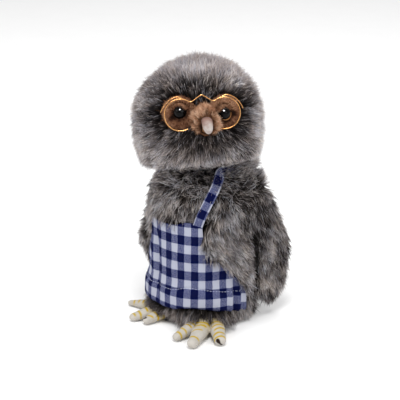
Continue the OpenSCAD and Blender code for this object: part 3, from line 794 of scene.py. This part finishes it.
# ------------------------------------------------------------------ neck strap path, used by the body's fur too
STRAP = rounded([(30.0, 82.0, 41.2), (31.8, 86.5, 42.2), (35.5, 93.5, 43.0), (41.0, 102.5, 43.4), (47.0, 111.0, 42.2), (52.4, 117.4, 38.6), (56.5, 120.2, 34.2), (66.0, 119.6, 30.0),
                 (85, 118, 28.5), (110, 115, 28.5), (140, 113.5, 29.0), (180, 113, 29.0)], 10)
FAR = rounded([(30.0, 82.0, 40.4), (32, 87, 38.4), (36.0, 94, 37.2), (41, 101, 36.4), (47, 108, 34.8), (54, 113.5, 32.0), (63, 115.5, 30.0), (85, 115, 29.0),
               (110, 114, 28.5), (140, 113.5, 29.0), (180, 113, 29.0)], 10)


def cyl(path):
    ar = np.radians(path[:, 0])
    return np.stack([path[:, 2] * np.sin(ar), -path[:, 2] * np.cos(ar), path[:, 1]], 1)


def near_strap(P):
    """Distance to the strap's front run on the owl's left, and the direction away from it."""
    S = cyl(STRAP[:56])
    d = np.linalg.norm(P[:, None, :] - S[None], axis=2)
    i = d.argmin(1)
    return d[np.arange(len(P)), i], unit(P - S[i])


# ------------------------------------------------------------------ body
BV, BF = body_surface()
body_pelt = add_mesh("body_pelt", BV, BF, mat=pelt)
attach(body_pelt, "body")
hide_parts(*[n for n in ("body_fur", "shoulder_fur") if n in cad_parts])


def apron_half(z):
    """Half angle that the apron covers at a height, degrees."""
    return np.interp(z, [15, 38, 62, 81], [82, 81, 37.5, 34.5])


def keep_body(P, N):
    al = np.abs(alpha_of(P))
    z = P[:, 2]
    under = (al < apron_half(z) - 1.5) & (z < 87.0) & (z > 19.0)
    return ~under & (z > 3.6) & (np.hypot(P[:, 0], P[:, 1] + 7.0) > 15.0)


rb = np.random.default_rng(SEED + 20)
P, N = sample(BV, BF, 50000, rb, keep_body)
N = np.where(np.sum(N * (P - np.array([0, 0, 60.0])), axis=1, keepdims=True) < 0, -N, N)
sdist, saway = near_strap(P)
k = sdist > 6.9 - 3.4 * smooth(P[:, 2], 106, 111)
P, N, sdist, saway = P[k], N[k], sdist[k], saway[k]
al = alpha_of(P)
z = P[:, 2]
out = unit(np.stack([P[:, 0], P[:, 1], 0 * z], 1))
sh = smooth(z, 99, 111)[:, None]
wing_zone = smooth(np.abs(al), 38, 48) * smooth(np.abs(al), 114, 100) * smooth(z, 40, 52) * smooth(z, 99, 90)
wing_zone = wing_zone * (1 - smooth(z, 60, 74) * smooth(-al, 25, 35) * smooth(-al, 95, 75))
back_sh = np.exp(-((al - 128) / 34.0) ** 2) * smooth(z, 97, 103)
bib = smooth(np.abs(al), 50, 40) * smooth(z, 97, 89) * smooth(z, 60, 80)
bare = bib * smooth(al, 2, 9)
notch = smooth(np.abs(al + 58), 46, 26) * smooth(z, 97, 103)
D = np.array([0, 0, -1.0]) * (1 - sh) + (out + np.array([0, 0, 1.0]) * (0.4 + 0.7 * back_sh)[:, None]) * sh
D = D + saway * (1.2 * smooth(sdist, 11, 6.4) * smooth(z, 111, 106))[:, None] + 0.28 * rb.normal(size=P.shape)
foot_z = smooth(z, 22, 8)
foot_a = np.maximum(smooth(np.abs(al - 38), 38, 22), smooth(np.abs(al + 30), 38, 22))
L = 13.0 * (0.74 + 0.42 * rb.random(len(P))) * (1 - 0.5 * wing_zone) * (1 - 0.40 * bare) * (1 - 0.5 * notch) * (1 + 0.06 * foot_z) * (1 + 0.22 * back_sh)
lift = np.radians(35 + 10 * rb.normal(size=len(P)) - 14 * wing_zone + 26 * sh[:, 0] + 8 * (bib - bare) - 8 * bare - 8 * notch + (10 + 20 * foot_a) * foot_z)
# painted shade in the fur colour: darker low down at the front and sides near the floor, darker at the top under the
# head, and darker behind the slit between the wing lobes on the owl's left
tone = 0.48 - 0.08 * smooth(al, 20, 45) * smooth(z, 99, 93) + 0.38 * (noise3(P, 11, 31) - 0.5) + 0.42 * (noise3(P, 5, 32) - 0.5) + 0.06 * bib - 0.24 * smooth(z, 26, 16) * smooth(np.abs(al), 100, 75) - 0.08 * smooth(z, 100, 110) + 0.09 * smooth(z, 96, 102) * smooth(np.abs(al - 112), 52, 30) + 0.06 * smooth(z, 84, 90) * smooth(al, 30, 10) + 0.22 * back_sh - 0.34 * smooth(np.abs(al - 98), 16, 9) * smooth(z, 78, 66) * smooth(z, 22, 30) - 0.10 * smooth(z, 94, 100) * smooth(np.abs(al - 68), 34, 20)
for a0, z0, sa, sz, amount in ((9, 97, 15, 7, -0.22), (26, 98, 8, 6, -0.20), (-24, 105, 9, 10, -0.30), (78, 108, 17, 7, -0.26), (30, 108, 20, 4, 0.10)):
    tone += amount * np.exp(-((al - a0) / sa) ** 2 - ((z - z0) / sz) ** 2)
# fur close to the strap, above the waist, is painted paler: painted light against the shade beside the strap
tone += 0.30 * smooth(z, 30, 18) * smooth(al, 48, 62) * smooth(al, 108, 94) + 0.13 * smooth(sdist, 16, 9) * smooth(z, 84, 92)
L = L * (1 - 0.25 * smooth(sdist, 9.5, 6.5) * smooth(z, 111, 106)) * (1 - 0.2 * smooth(z, 20, 8) * smooth(np.abs(al - 68), 24, 12))
L = L * (1 - 0.45 * smooth(z, 20, 8) * smooth(np.abs(al + 6), 17, 8))
tone = np.where(rb.random(len(P)) < 0.21 * (1 - 0.8 * smooth(z, 26, 18)), np.maximum(tone, 0.76), tone)
strands("body_hair", P, N, D, L, lift, 0.5, 0.14 + 0.09 * rb.random(len(P)), tone, "body", taupe_fur, rb, clumps=((6, 0.78), (48, 0.26)),
        tone_var=(0.24, 0.17, 0.08))

# longer fur falling over the roots of the feet
def over_foot(P, N):
    al = alpha_of(P)
    return (P[:, 2] > 8.5) & (P[:, 2] < 15) & ((np.abs(al - 38) < 27) | (np.abs(al + 32) < 27))


P, N = sample(BV, BF, 90000, rb, over_foot)
k = rb.random(len(P)) < 4200 / max(len(P), 1)
P, N = P[k], N[k]
N = np.where(np.sum(N * P * np.array([1, 1, 0.0]), axis=1, keepdims=True) < 0, -N, N)
al = alpha_of(P)
edge = np.minimum(np.abs(al - 38), np.abs(al + 32))
D = np.array([0, 0, -1.0]) + 0.25 * rb.normal(size=P.shape)
L = (14.6 + 5.5 * rb.random(len(P))) * (1 - 0.25 * smooth(edge, 15, 27)) * np.where(al > 3, 1.0, 0.66)
lift = np.radians(97 + 8 * rb.normal(size=len(P)))
L = L * np.where(al > 3, 1.1, 1.0)
# the fringe is darker over the middle of each foot: painted shade where the fur hangs over the toes' roots
tone = 0.38 + 0.34 * (noise3(P, 5, 36) - 0.5) - 0.22 * smooth(edge, 16, 6)
strands("foot_fringe_hair", P, N, D, L, lift, 0.5, 0.14 + 0.08 * rb.random(len(P)), tone, "body", taupe_fur, rb, clumps=((9, 0.8), (60, 0.4)),
        tone_var=(0.22, 0.15, 0.08))

# ------------------------------------------------------------------ wings
FRONT = np.array([(25, -1.0, 2.2), (28, -3.5, 2.2), (32, -7.0, 2.0), (38, -11.5, 1.8), (45, -16.5, 1.6), (51, -21.5, 1.6), (57, -27.5, 1.6), (63, -32, 2.0), (70, -33.5, 3.0),
                  (80, -32, 5.4), (88, -29, 7.0), (96, -24, 8.0), (102, -17, 8.2), (107, -11, 7.5), (110, -7, 6.0)])
REAR = np.array([(11.5, 23, 29.5), (15, 17, 33), (20, 11.5, 34.5), (34, 6.2, 35.5), (50, 5.4, 37), (64, 5.6, 35), (75, 6.4, 31.5), (85, 7.6, 28), (95, 9, 23.5), (102, 9, 20),
                 (107, 8.0, 20), (111, 7.5, 18.5), (114, 8, 16)])
# on the owl's right the front lobe lies further back above the apron, under the fur of the chest
FRONT_R = FRONT.copy()
FRONT_R[:, 1] = np.minimum(FRONT[:, 1] + 17.0 * smooth(FRONT[:, 0], 62, 78), FRONT[:, 2] - 6.0)


def wing_mid(y, z):
    """Middle of the wing's thickness, across the body, at a height."""
    R = 43.3 - 2.8 * smooth(z, 56, 76)
    wrap = np.sqrt(np.maximum(R ** 2 - np.minimum(y, 9.0) ** 2, 1.0))
    flare = np.maximum(y - 9.0, 0) * (0.26 - 0.14 * smooth(z, 70, 100))
    tuck = 5.0 * smooth(z, 30, 4) * smooth(y, 8, 22)
    sh = 3.0 * smooth(z, 94, 110)
    return wrap + flare - tuck - sh


def wing_lobe(tab, thick, nu=44, nv=44):
    V = []
    zs = np.linspace(tab[0, 0], tab[-1, 0], nv)
    for j, z in enumerate(zs):
        y0, y1 = np.interp(z, tab[:, 0], tab[:, 1]), np.interp(z, tab[:, 0], tab[:, 2])
        endf = max(math.sqrt(max(0.0, 1 - (2 * j / (nv - 1) - 1) ** 8)), 0.05)
        hw = 0.5 * (y1 - y0) * endf
        th = thick * endf
        yc = 0.5 * (y0 + y1)
        for i in range(nu):
            w = 2 * math.pi * i / nu
            cw, sw = math.cos(w), math.sin(w)
            y = yc + hw * cw
            o = th * math.copysign(abs(sw) ** 0.7, sw)
            zz = np.array(z)
            dxdy = float(wing_mid(np.array(y + 0.5), zz) - wing_mid(np.array(y - 0.5), zz))
            ln = math.hypot(1.0, dxdy)
            V.append((float(wing_mid(np.array(y), zz)) + o / ln, y - o * dxdy / ln, z))
    V = np.array(V)
    V = np.concatenate([V, [V[:nu].mean(0)], [V[-nu:].mean(0)]])
    F = grid_faces(nu, nv)
    a0, a1 = len(V) - 2, len(V) - 1
    for i in range(nu):
        F.append((i, (i + 1) % nu, a0))
        F.append(((nv - 1) * nu + (i + 1) % nu, (nv - 1) * nu + i, a1))
    return V, F


for s, side in ((1, "left"), (-1, "right")):
    # the sewn top edge runs along the shoulder, given as a line in hang; the pieces are baked where they are built
    hang = ((s * 0.0382, 0.0, 0.106), (s * 0.0382, 0.0, 0.088))
    for tab, part, count, seed in ((FRONT, "front", 14000, 1), (REAR, "rear", 14000, 2)):
        V, F = wing_lobe(FRONT_R if part == "front" and s < 0 else tab, 1.7 if part == "front" else 2.2)
        flip = np.array([s, 1, 1.0])
        ob = add_mesh("wing_%s_%s_pelt" % (side, part), V * flip, F, mat=pelt)
        bm = bmesh.new()
        bm.from_mesh(ob.data)
        bmesh.ops.recalc_face_normals(bm, faces=bm.faces)
        bm.to_mesh(ob.data)
        bm.free()
        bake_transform(ob)
        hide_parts("wing_%s_%s" % (side, part))
        rw = np.random.default_rng(SEED + 50 + seed + (7 if s < 0 else 0))
        P, N = sample(V, F, count, rw)
        mid = np.stack([wing_mid(P[:, 1], P[:, 2]), P[:, 1], P[:, 2]], 1)
        dy = wing_mid(P[:, 1] + 0.5, P[:, 2]) - wing_mid(P[:, 1] - 0.5, P[:, 2])
        outn = unit(np.stack([np.ones(len(P)), -dy, 0 * dy], 1))
        sgn = np.sign(np.sum((P - mid) * outn, axis=1))
        N = np.where(np.sum(N * unit(P - mid + outn * 0.01), axis=1, keepdims=True) < 0, -N, N)
        slit = smooth(P[:, 1], -3.5, 1.2) if part == "front" else smooth(P[:, 1], 9.6, 5.8)
        slit = slit * smooth(P[:, 2], 84, 72)
        D = np.tile([0.0, 0.12, -1.0], (len(P), 1))
        if part == "front":
            D[:, 1] = (0.30 + 0.50 * smooth(P[:, 2], 90, 64)) * smooth(P[:, 1], -2, -13) - 0.12 * slit
        else:
            D[:, 1] += 0.30 * slit
        D = D + 0.28 * rw.normal(size=P.shape)
        top = smooth(P[:, 2], 96, 108)
        D = D * (1 - top)[:, None] + np.array([0.6, 0.3, 0.7]) * top[:, None]
        L = 11.5 * (0.72 + 0.44 * rw.random(len(P))) * np.where(sgn < 0, 0.4, 1.0) * (0.75 + 0.25 * smooth(P[:, 2], 4, 22)) * (1 - (0.62 if part == "front" else 0.60) * np.maximum(slit, 0.45 * smooth(P[:, 1], -8, -2) * smooth(P[:, 2], 84, 72) * (part == "front"))) * (1 - 0.25 * top)
        L = L * (1.0 if s > 0 else 0.85)
        lift = np.radians(24 + 9 * rw.normal(size=len(P)) + 20 * top - 9 * slit) * np.where(sgn < 0, 0.4, 1.0)
        tone = 0.47 + 0.44 * (noise3(P * np.array([1, 1, 0.6]), 9, 60 + seed) - 0.5) + 0.44 * (noise3(P, 4.5, 64 + seed) - 0.5)
        # both lobes' fur is painted darker along the slit between them: painted shade in the gap
        if part == "rear":
            tone -= 0.40 * slit + 0.08 + 0.18 * smooth(P[:, 1], 26, 15) * smooth(P[:, 2], 58, 74) * smooth(P[:, 2], 104, 94)
            tone += 0.14 * smooth(P[:, 1], 24, 34) * smooth(P[:, 2], 46, 64) - 0.14 * smooth(P[:, 1], 22, 16) * smooth(P[:, 2], 64, 76) * smooth(P[:, 2], 104, 94) + 0.13 * smooth(P[:, 2], 62, 46) * smooth(P[:, 2], 26, 40) * smooth(P[:, 1], 7, 12) * smooth(P[:, 1], 24, 16) - 0.16 * smooth(P[:, 1], 16, 23) * smooth(P[:, 2], 70, 62) * smooth(P[:, 2], 42, 50) + 0.12 * smooth(P[:, 1], 22, 29) * smooth(P[:, 2], 46, 38) + 0.26 * smooth(P[:, 1], 9, 13) * smooth(P[:, 2], 93, 101) - 0.10 * smooth(P[:, 2], 32, 22) * smooth(P[:, 1], 24, 17)
        else:
            tone -= 0.50 * slit + 0.06 * smooth(P[:, 2], 62, 76) + 0.16 * smooth(P[:, 1] + 0.55 * (P[:, 2] - 84), -6, 6) * smooth(P[:, 2], 106, 98)
            tone += 0.30 * smooth(P[:, 1], -14, -22) * smooth(P[:, 2], 84, 92) - 0.20 * smooth(P[:, 1], -20, -11) * smooth(P[:, 2], 56, 70)
        tone += 0.10 * smooth(P[:, 2], 100, 107) * smooth(P[:, 1], 8, 15)
        tone = np.where(rw.random(len(P)) < 0.15 * (1 - slit), np.maximum(tone, 0.74), tone)
        strands("wing_%s_%s_hair" % (side, part), P * flip, N * flip, D * flip, L, lift, 0.4, 0.14 + 0.09 * rw.random(len(P)), tone,
                "wing_" + side, taupe_fur, rw, clumps=((6, 0.82), (48, 0.28)), tone_var=(0.24, 0.17, 0.08), hang=hang)

# ------------------------------------------------------------------ apron
def gingham(name, px, py, ox, oy):
    """Plain-weave check from the cloth's own flat coordinates, in millimetres."""
    m, nt, b = new_mat(name)
    uv = nt.nodes.new("ShaderNodeUVMap")
    uv.uv_map = "cloth"
    sep = nt.nodes.new("ShaderNodeSeparateXYZ")
    nt.links.new(uv.outputs[0], sep.inputs[0])
    wob = noise_tex(nt, 0.35, 2.0, 0.5, uv.outputs[0])
    wv = math_node(nt, "MULTIPLY", math_node(nt, "SUBTRACT", wob, 0.5), 0.5)

    def stripe(src, period, off):
        t = math_node(nt, "ADD", math_node(nt, "ADD", src, wv), off)
        t = math_node(nt, "FRACT", math_node(nt, "DIVIDE", t, period))
        t = math_node(nt, "ABSOLUTE", math_node(nt, "SUBTRACT", t, 0.5))
        t = math_node(nt, "MULTIPLY", math_node(nt, "SUBTRACT", t, 0.25), 26.0)
        return math_node(nt, "ADD", t, 0.5, True)

    su = stripe(sep.outputs[0], px, ox)
    sv = stripe(sep.outputs[1], py, oy)
    tw = 0.42

    def thread(src, ph):
        t = math_node(nt, "MULTIPLY", src, 2 * math.pi / tw)
        return math_node(nt, "SINE", math_node(nt, "ADD", t, ph))

    tu = thread(sep.outputs[0], 0.0)
    tv = thread(sep.outputs[1], 0.7)
    over = math_node(nt, "MULTIPLY", tu, tv)
    sel = math_node(nt, "ADD", math_node(nt, "MULTIPLY", over, 0.5), 0.5)
    both = math_node(nt, "ADD", math_node(nt, "MULTIPLY", su, sel), math_node(nt, "MULTIPLY", sv, math_node(nt, "SUBTRACT", 1.0, sel)))
    slub = noise_tex(nt, 2.2, 4.0, 0.7, uv.outputs[0])
    fac = math_node(nt, "ADD", both, math_node(nt, "MULTIPLY", math_node(nt, "SUBTRACT", slub, 0.5), 0.10), True)
    col = ramp(nt, fac, [(0.0, lin(167, 170, 185)), (0.5, lin(32, 43, 101)), (1.0, lin(4, 10, 52))])
    nt.links.new(col, b.inputs["Base Color"])
    b.inputs["Roughness"].default_value = 0.85
    b.inputs["Specular IOR Level"].default_value = 0.06
    h = math_node(nt, "ADD", math_node(nt, "ABSOLUTE", tu), math_node(nt, "ABSOLUTE", tv))
    bump(nt, b, h, 0.35, 0.00025)
    return m


def cloth_sheet(name, top, uvmm, nu, nv, thick, mat, normals):
    """Closed thin cloth from a grid of points, with its flat coordinates kept on both faces."""
    V = np.concatenate([top + normals * thick / 2, top - normals * thick / 2])
    F = []
    k = nu * nv
    for j in range(nv - 1):
        for i in range(nu - 1):
            a0 = j * nu + i
            F.append((a0, a0 + 1, a0 + nu + 1, a0 + nu))
            F.append((k + a0, k + a0 + nu, k + a0 + nu + 1, k + a0 + 1))
    for i in range(nu - 1):
        F.append((i, k + i, k + i + 1, i + 1))
        q = (nv - 1) * nu + i
        F.append((q, q + 1, k + q + 1, k + q))
    for j in range(nv - 1):
        q = j * nu
        F.append((q, q + nu, k + q + nu, k + q))
        q = j * nu + nu - 1
        F.append((q, k + q, k + q + nu, q + nu))
    ob = add_mesh(name, V, F, mat=mat)
    lay = ob.data.uv_layers.new(name="cloth")
    U = np.concatenate([uvmm, uvmm])
    li = np.zeros(len(ob.data.loops), np.int32)
    ob.data.loops.foreach_get("vertex_index", li)
    lay.data.foreach_set("uv", U[li].astype(np.float32).ravel())
    return ob


STITCH_T = 0.235


def apron_point(al, t):
    """Point of the apron at an angle round the body, t from the hem to the top, both arrays."""
    U = 40.6 * np.radians(al)
    hem = np.interp(U, [-58, -40, -27, -18, -10, 2, 8, 16, 27, 40, 58], [12.3, 12.8, 13.2, 14.0, 14.0, 14.2, 16.2, 17.4, 16.4, 14.0, 11.6])
    topz = np.interp(U, [-26, -18, 0, 6, 11, 18, 22, 26], [80.6, 81.0, 81.0, 82.0, 84.2, 84.6, 83.0, 81.4])
    z = hem + (topz - hem) * t
    nz = z
    lowf = smooth(z, 60, 22)
    fold = 0.5 * np.sin(np.radians(al * 5.2 + 30 * np.sin(z * 0.045))) * (0.25 + 0.75 * lowf)
    fold += 1.3 * np.sin((U - 44) * 2 * math.pi / 6.5) * smooth(U, 40, 48) * smooth(z, 44, 24)
    fold += -1.6 * np.exp(-((U + 15 + 0.06 * (z - 50)) / 2.0) ** 2) * smooth(z, 76, 60) * smooth(z, 14, 26)
    fold += 1.0 * np.exp(-((U + 22) / 3.0) ** 2) * smooth(z, 80, 50)
    flare = (2.2 + 1.2 * smooth(U, -15, -35)) * smooth(z, 38, 24) - 1.6 * smooth(t, 0.03, 0.0)
    stitch = -0.8 * np.exp(-((t - STITCH_T) * 64 / 1.1) ** 2)
    R = 40.6 + fold + flare + stitch
    ar = np.radians(al)
    return np.stack([R * np.sin(ar), -R * np.cos(ar), z], -1), U, nz


apron_mat = gingham("gingham_cloth", 10.5, 13.85, 2.0, 12.55)
nu, nv = 170, 100
tg = np.linspace(0, 1, nv)
S, T = np.meshgrid(np.linspace(-1, 1, nu), tg)
al = S * apron_half(15 + 66 * T)
pts, U, nz = apron_point(al.ravel(), T.ravel())
wr = (noise3(pts * np.array([1, 1, 0.7]), 8, 77) - 0.5) * 0.9 + (noise3(pts, 3.5, 78) - 0.5) * 0.25
nr = unit(np.stack([pts[:, 0], pts[:, 1], 0 * pts[:, 0]], 1))
pts = pts + nr * wr[:, None]
apron = cloth_sheet("apron_cloth", pts, np.stack([U, nz], 1), nu, nv, 0.55, apron_mat, nr)
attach(apron, "body")
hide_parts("apron")

# the hem's line of stitches
thr, nt, b = new_mat("stitch_thread")
n = noise_tex(nt, 2500.0, 2.0)
nt.links.new(ramp(nt, n, [(0.2, lin(150, 156, 190)), (0.8, lin(196, 200, 222))]), b.inputs["Base Color"])
b.inputs["Roughness"].default_value = 0.7
V, F = [], []
for i in range(-25, 26):
    al0 = i * 3.1
    a2 = np.array([al0 - 1.0, al0, al0 + 1.0])
    pp, _, _ = apron_point(a2, np.full(3, STITCH_T))
    w2 = (noise3(pp * np.array([1, 1, 0.7]), 8, 77) - 0.5) * 0.9 + (noise3(pp, 3.5, 78) - 0.5) * 0.25
    nn = unit(np.stack([pp[:, 0], pp[:, 1], 0 * pp[:, 0]], 1))
    pp = pp + nn * (w2 + 0.30)[:, None]
    pp[1] += nn[1] * 0.18
    o = len(V)
    for k in range(3):
        r = 0.2 if k == 1 else 0.12
        for q in range(6):
            an = 2 * math.pi * q / 6
            V.append(pp[k] + nn[k] * r * math.cos(an) + np.array([0, 0, 1.0]) * r * math.sin(an))
    for k in range(2):
        for q in range(6):
            F.append((o + k * 6 + q, o + k * 6 + (q + 1) % 6, o + k * 6 + 6 + (q + 1) % 6, o + k * 6 + 6 + q))
    F.append(tuple(o + q for q in range(5, -1, -1)))
    F.append(tuple(o + 12 + q for q in range(6)))
stitches = add_mesh("apron_hem_stitches", V, F, mat=thr)
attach(stitches, "body")

# strap round the neck
path = np.concatenate([STRAP, np.array([(360 - q[0], q[1], q[2]) for q in FAR[::-1][1:]])])
line = cyl(path)
ar = np.radians(path[:, 0])
tan = unit(np.gradient(line, axis=0))
outw = unit(np.stack([np.sin(ar), -np.cos(ar), 0.3 * np.ones(len(ar))], 1))
side_v = unit(np.cross(tan, outw))
outw = np.cross(side_v, tan)
acc = np.concatenate([[0], np.cumsum(np.linalg.norm(np.diff(line, axis=0), axis=1))])
ns = 9
pts, uvs, nrm = [], [], []
for i in range(len(line)):
    for k in range(ns):
        w = -3.6 + 7.2 * k / (ns - 1)
        pts.append(line[i] + side_v[i] * w + outw[i] * (0.4 * (1 - (w / 3.6) ** 2)))
        uvs.append((w, acc[i]))
        nrm.append(outw[i])
strap_mat = gingham("gingham_strap", 10.5, 13.85, 0.25, 2.6)
strap = cloth_sheet("neck_strap_cloth", np.array(pts), np.array(uvs), ns, len(line), 0.7, strap_mat, np.array(nrm))
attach(strap, "body")
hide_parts("neck_strap")

# ------------------------------------------------------------------ feet
fm2, nt, b = new_mat("foot_cloth")
at = nt.nodes.new("ShaderNodeAttribute")
at.attribute_name = "paint"
claw = nt.nodes.new("ShaderNodeAttribute")
claw.attribute_name = "claw"
mot = noise_tex(nt, 160.0, 4.0, 0.6)
knit = noise_tex(nt, 2400.0, 2.0)
cream = ramp(nt, mot, [(0.3, lin(170, 166, 160)), (0.7, lin(186, 182, 177))])
col = mix_rgb(nt, at.outputs["Fac"], cream, lin(176, 146, 8))
col = mix_rgb(nt, claw.outputs["Fac"], col, lin(34, 22, 16))
nt.links.new(col, b.inputs["Base Color"])
b.inputs["Roughness"].default_value = 0.85
b.inputs["Specular IOR Level"].default_value = 0.15
bump(nt, b, knit, 0.4, 0.0003)


# each toe: root and tip on the floor, radius at root and tip, places of its painted stripes from root (0) to tip (1)
FOOT = {1: (((21.5, -33), (19.1, -59.3), 5.7, 3.6, (0.29, 0.42, 0.56, 0.75, 0.95)),
            ((27, -33), (35.3, -62.3), 6.4, 4.2, (0.25, 0.42, 0.62, 0.91)),
            ((31.5, -28), (48.6, -46.6), 6.0, 4.5, (0.28, 0.47, 0.66, 0.86, 1.03))),
        -1: (((-13, -35.5), (-16.2, -49.9), 4.4, 3.3, (0.18, 0.5, 0.83)),
             ((-19, -33), (-28.2, -50.8), 4.9, 3.5, (0.25, 0.49, 0.80, 1.0)),
             ((-24, -27), (-47.4, -30.0), 4.5, 2.5, (0.48, 0.64, 0.86)))}
CLAW = {1: ((49.3, -50.6, 5.2), (52.0, -47.8, 0.9), 1.15), -1: ((-17.0, -50.6, 5.6), (-19.0, -51.5, 3.7), 0.7)}
FLAT = 0.88


def make_foot(s, side, claw_toes):
    toes = [(t[0], t[1]) for t in FOOT[s]]
    bm = bmesh.new()
    for p, q, r0, r1, _ in FOOT[s]:
        for k in range(17):
            t = k / 16
            r = r0 + (r1 - r0) * t + 0.45 * math.sin(math.pi * t) * (1 - 0.4 * math.cos(2 * math.pi * t))
            x, y = p[0] + (q[0] - p[0]) * t, p[1] + (q[1] - p[1]) * t
            bmesh.ops.create_icosphere(bm, subdivisions=2, radius=r * MM, matrix=Matrix.Translation((x * MM, y * MM, (FLAT * r - 0.1) * MM)) @ Matrix.Diagonal((1, 1, FLAT, 1)))
    cx, cy = np.mean([t[0] for t in FOOT[s]], axis=0)
    bmesh.ops.create_icosphere(bm, subdivisions=2, radius=5.0 * MM, matrix=Matrix.Translation((cx * MM, (cy + 1.5) * MM, 5.0 * MM)))
    me = bpy.data.meshes.new("foot_%s_cloth" % side)
    bm.to_mesh(me)
    bm.free()
    ob = bpy.data.objects.new("foot_%s_cloth" % side, me)
    bpy.context.collection.objects.link(ob)
    md = ob.modifiers.new("r", "REMESH")
    md.mode = "VOXEL"
    md.voxel_size = 0.00045
    ms = ob.modifiers.new("s", "SMOOTH")
    ms.iterations = 12
    ms.factor = 0.5
    dg = bpy.context.evaluated_depsgraph_get()
    me2 = bpy.data.meshes.new_from_object(ob.evaluated_get(dg))
    ob.modifiers.clear()
    ob.data = me2
    me2.name = "foot_%s_cloth" % side
    me2.materials.clear()
    me2.materials.append(fm2)
    me2.polygons.foreach_set("use_smooth", np.ones(len(me2.polygons), bool))
    V = np.zeros(len(me2.vertices) * 3, np.float32)
    me2.vertices.foreach_get("co", V)
    V = V.reshape(-1, 3) / MM
    best = np.full(len(V), 1e9)
    tt = np.zeros(len(V))
    which = np.zeros(len(V), int)
    side_w = np.zeros(len(V))
    for i, (p, q) in enumerate(toes):
        p, q = np.array(p), np.array(q)
        d = q - p
        t = np.clip(((V[:, :2] - p) @ d) / (d @ d), 0, 1.35)
        c = p + t[:, None] * d
        dist = np.linalg.norm(V[:, :2] - c, axis=1)
        m = dist < best
        best[m], tt[m], which[m] = dist[m], t[m], i
        side_w[m] = ((V[:, :2] - c) @ np.array([-d[1], d[0]]) / np.linalg.norm(d))[m]
    jit = (noise3(V, 4, 90) - 0.5) * 0.12
    paint = np.zeros(len(V))
    rs = np.random.default_rng(SEED + 80 + s)
    for i in range(3):
        ln = math.dist(*toes[i])
        rad = FOOT[s][i][2] + (FOOT[s][i][3] - FOOT[s][i][2]) * np.clip(tt, 0, 1)
        for c0 in FOOT[s][i][4]:
            wdt = (0.72 + 0.26 * rs.random()) / ln
            slant = (0.16 * rs.normal() + 0.10) / ln
            off, span = 0.6 * rs.normal(), (0.72 + 0.3 * rs.random()) * rad
            g = np.exp(-((tt + jit * 0.3 + slant * side_w - c0) / wdt) ** 4)
            fade = smooth(V[:, 2], 1.0, 2.6) * (0.85 + 0.15 * rs.random()) * smooth(np.abs(side_w - off), span + 0.9, span - 0.5)
            paint = np.maximum(paint, np.where(which == i, g * fade, 0))
    paint = np.clip(paint + 0.58 * smooth(tt, 0.62, 0.3) * (0.3 + 0.7 * noise3(V, 4, 91)) + 0.05, 0, 1)
    ca, cb, hw = CLAW[s]
    ca, ab = np.array(ca), np.array(cb) - np.array(ca)
    u = np.clip(((V - ca) @ ab) / (ab @ ab), 0, 1)
    off = np.linalg.norm(V - ca - u[:, None] * ab, axis=1)
    cl = smooth(off - (hw * (1 - u) + 0.35), 0.35, -0.15) * np.isin(which, claw_toes)
    for nm, val in (("paint", paint), ("claw", cl)):
        lay = me2.attributes.new(nm, "FLOAT", "POINT")
        lay.data.foreach_set("value", val.astype(np.float32))
    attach(ob, "body")
    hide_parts("foot_" + side)
    return ob


make_foot(1, "left", (2,))
make_foot(-1, "right", (0,))

# ------------------------------------------------------------------ carried-over CAD pieces
def plain(name, c0, c1, scale, rough):
    m, nt, b = new_mat(name)
    n = noise_tex(nt, scale, 4.0)
    nt.links.new(ramp(nt, n, [(0.3, c0), (0.7, c1)]), b.inputs["Base Color"])
    b.inputs["Roughness"].default_value = rough
    bump(nt, b, n, 0.3, 0.0003)
    return m


m_wad = plain("white_fibre", lin(222, 222, 216), lin(242, 242, 238), 300.0, 0.95)
m_lin = plain("dark_lining", lin(50, 50, 54), lin(72, 72, 78), 1200.0, 0.9)
m_pla = plain("white_plastic", lin(206, 206, 202), lin(216, 216, 212), 200.0, 0.45)
for node, mat in (("body_wadding", m_wad), ("head_stuffing", m_wad), ("body_lining", m_lin), ("base_binding", m_lin), ("waist_elastic", m_lin),
                  ("shoulder_seam_left", m_lin), ("shoulder_seam_right", m_lin), ("neck_collar", m_pla), ("neck_tube", m_pla), ("neck_ring", m_pla),
                  ("eye_washer_left", m_pla), ("eye_washer_right", m_pla)):
    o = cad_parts[node]
    o.data.materials.clear()
    o.data.materials.append(mat)
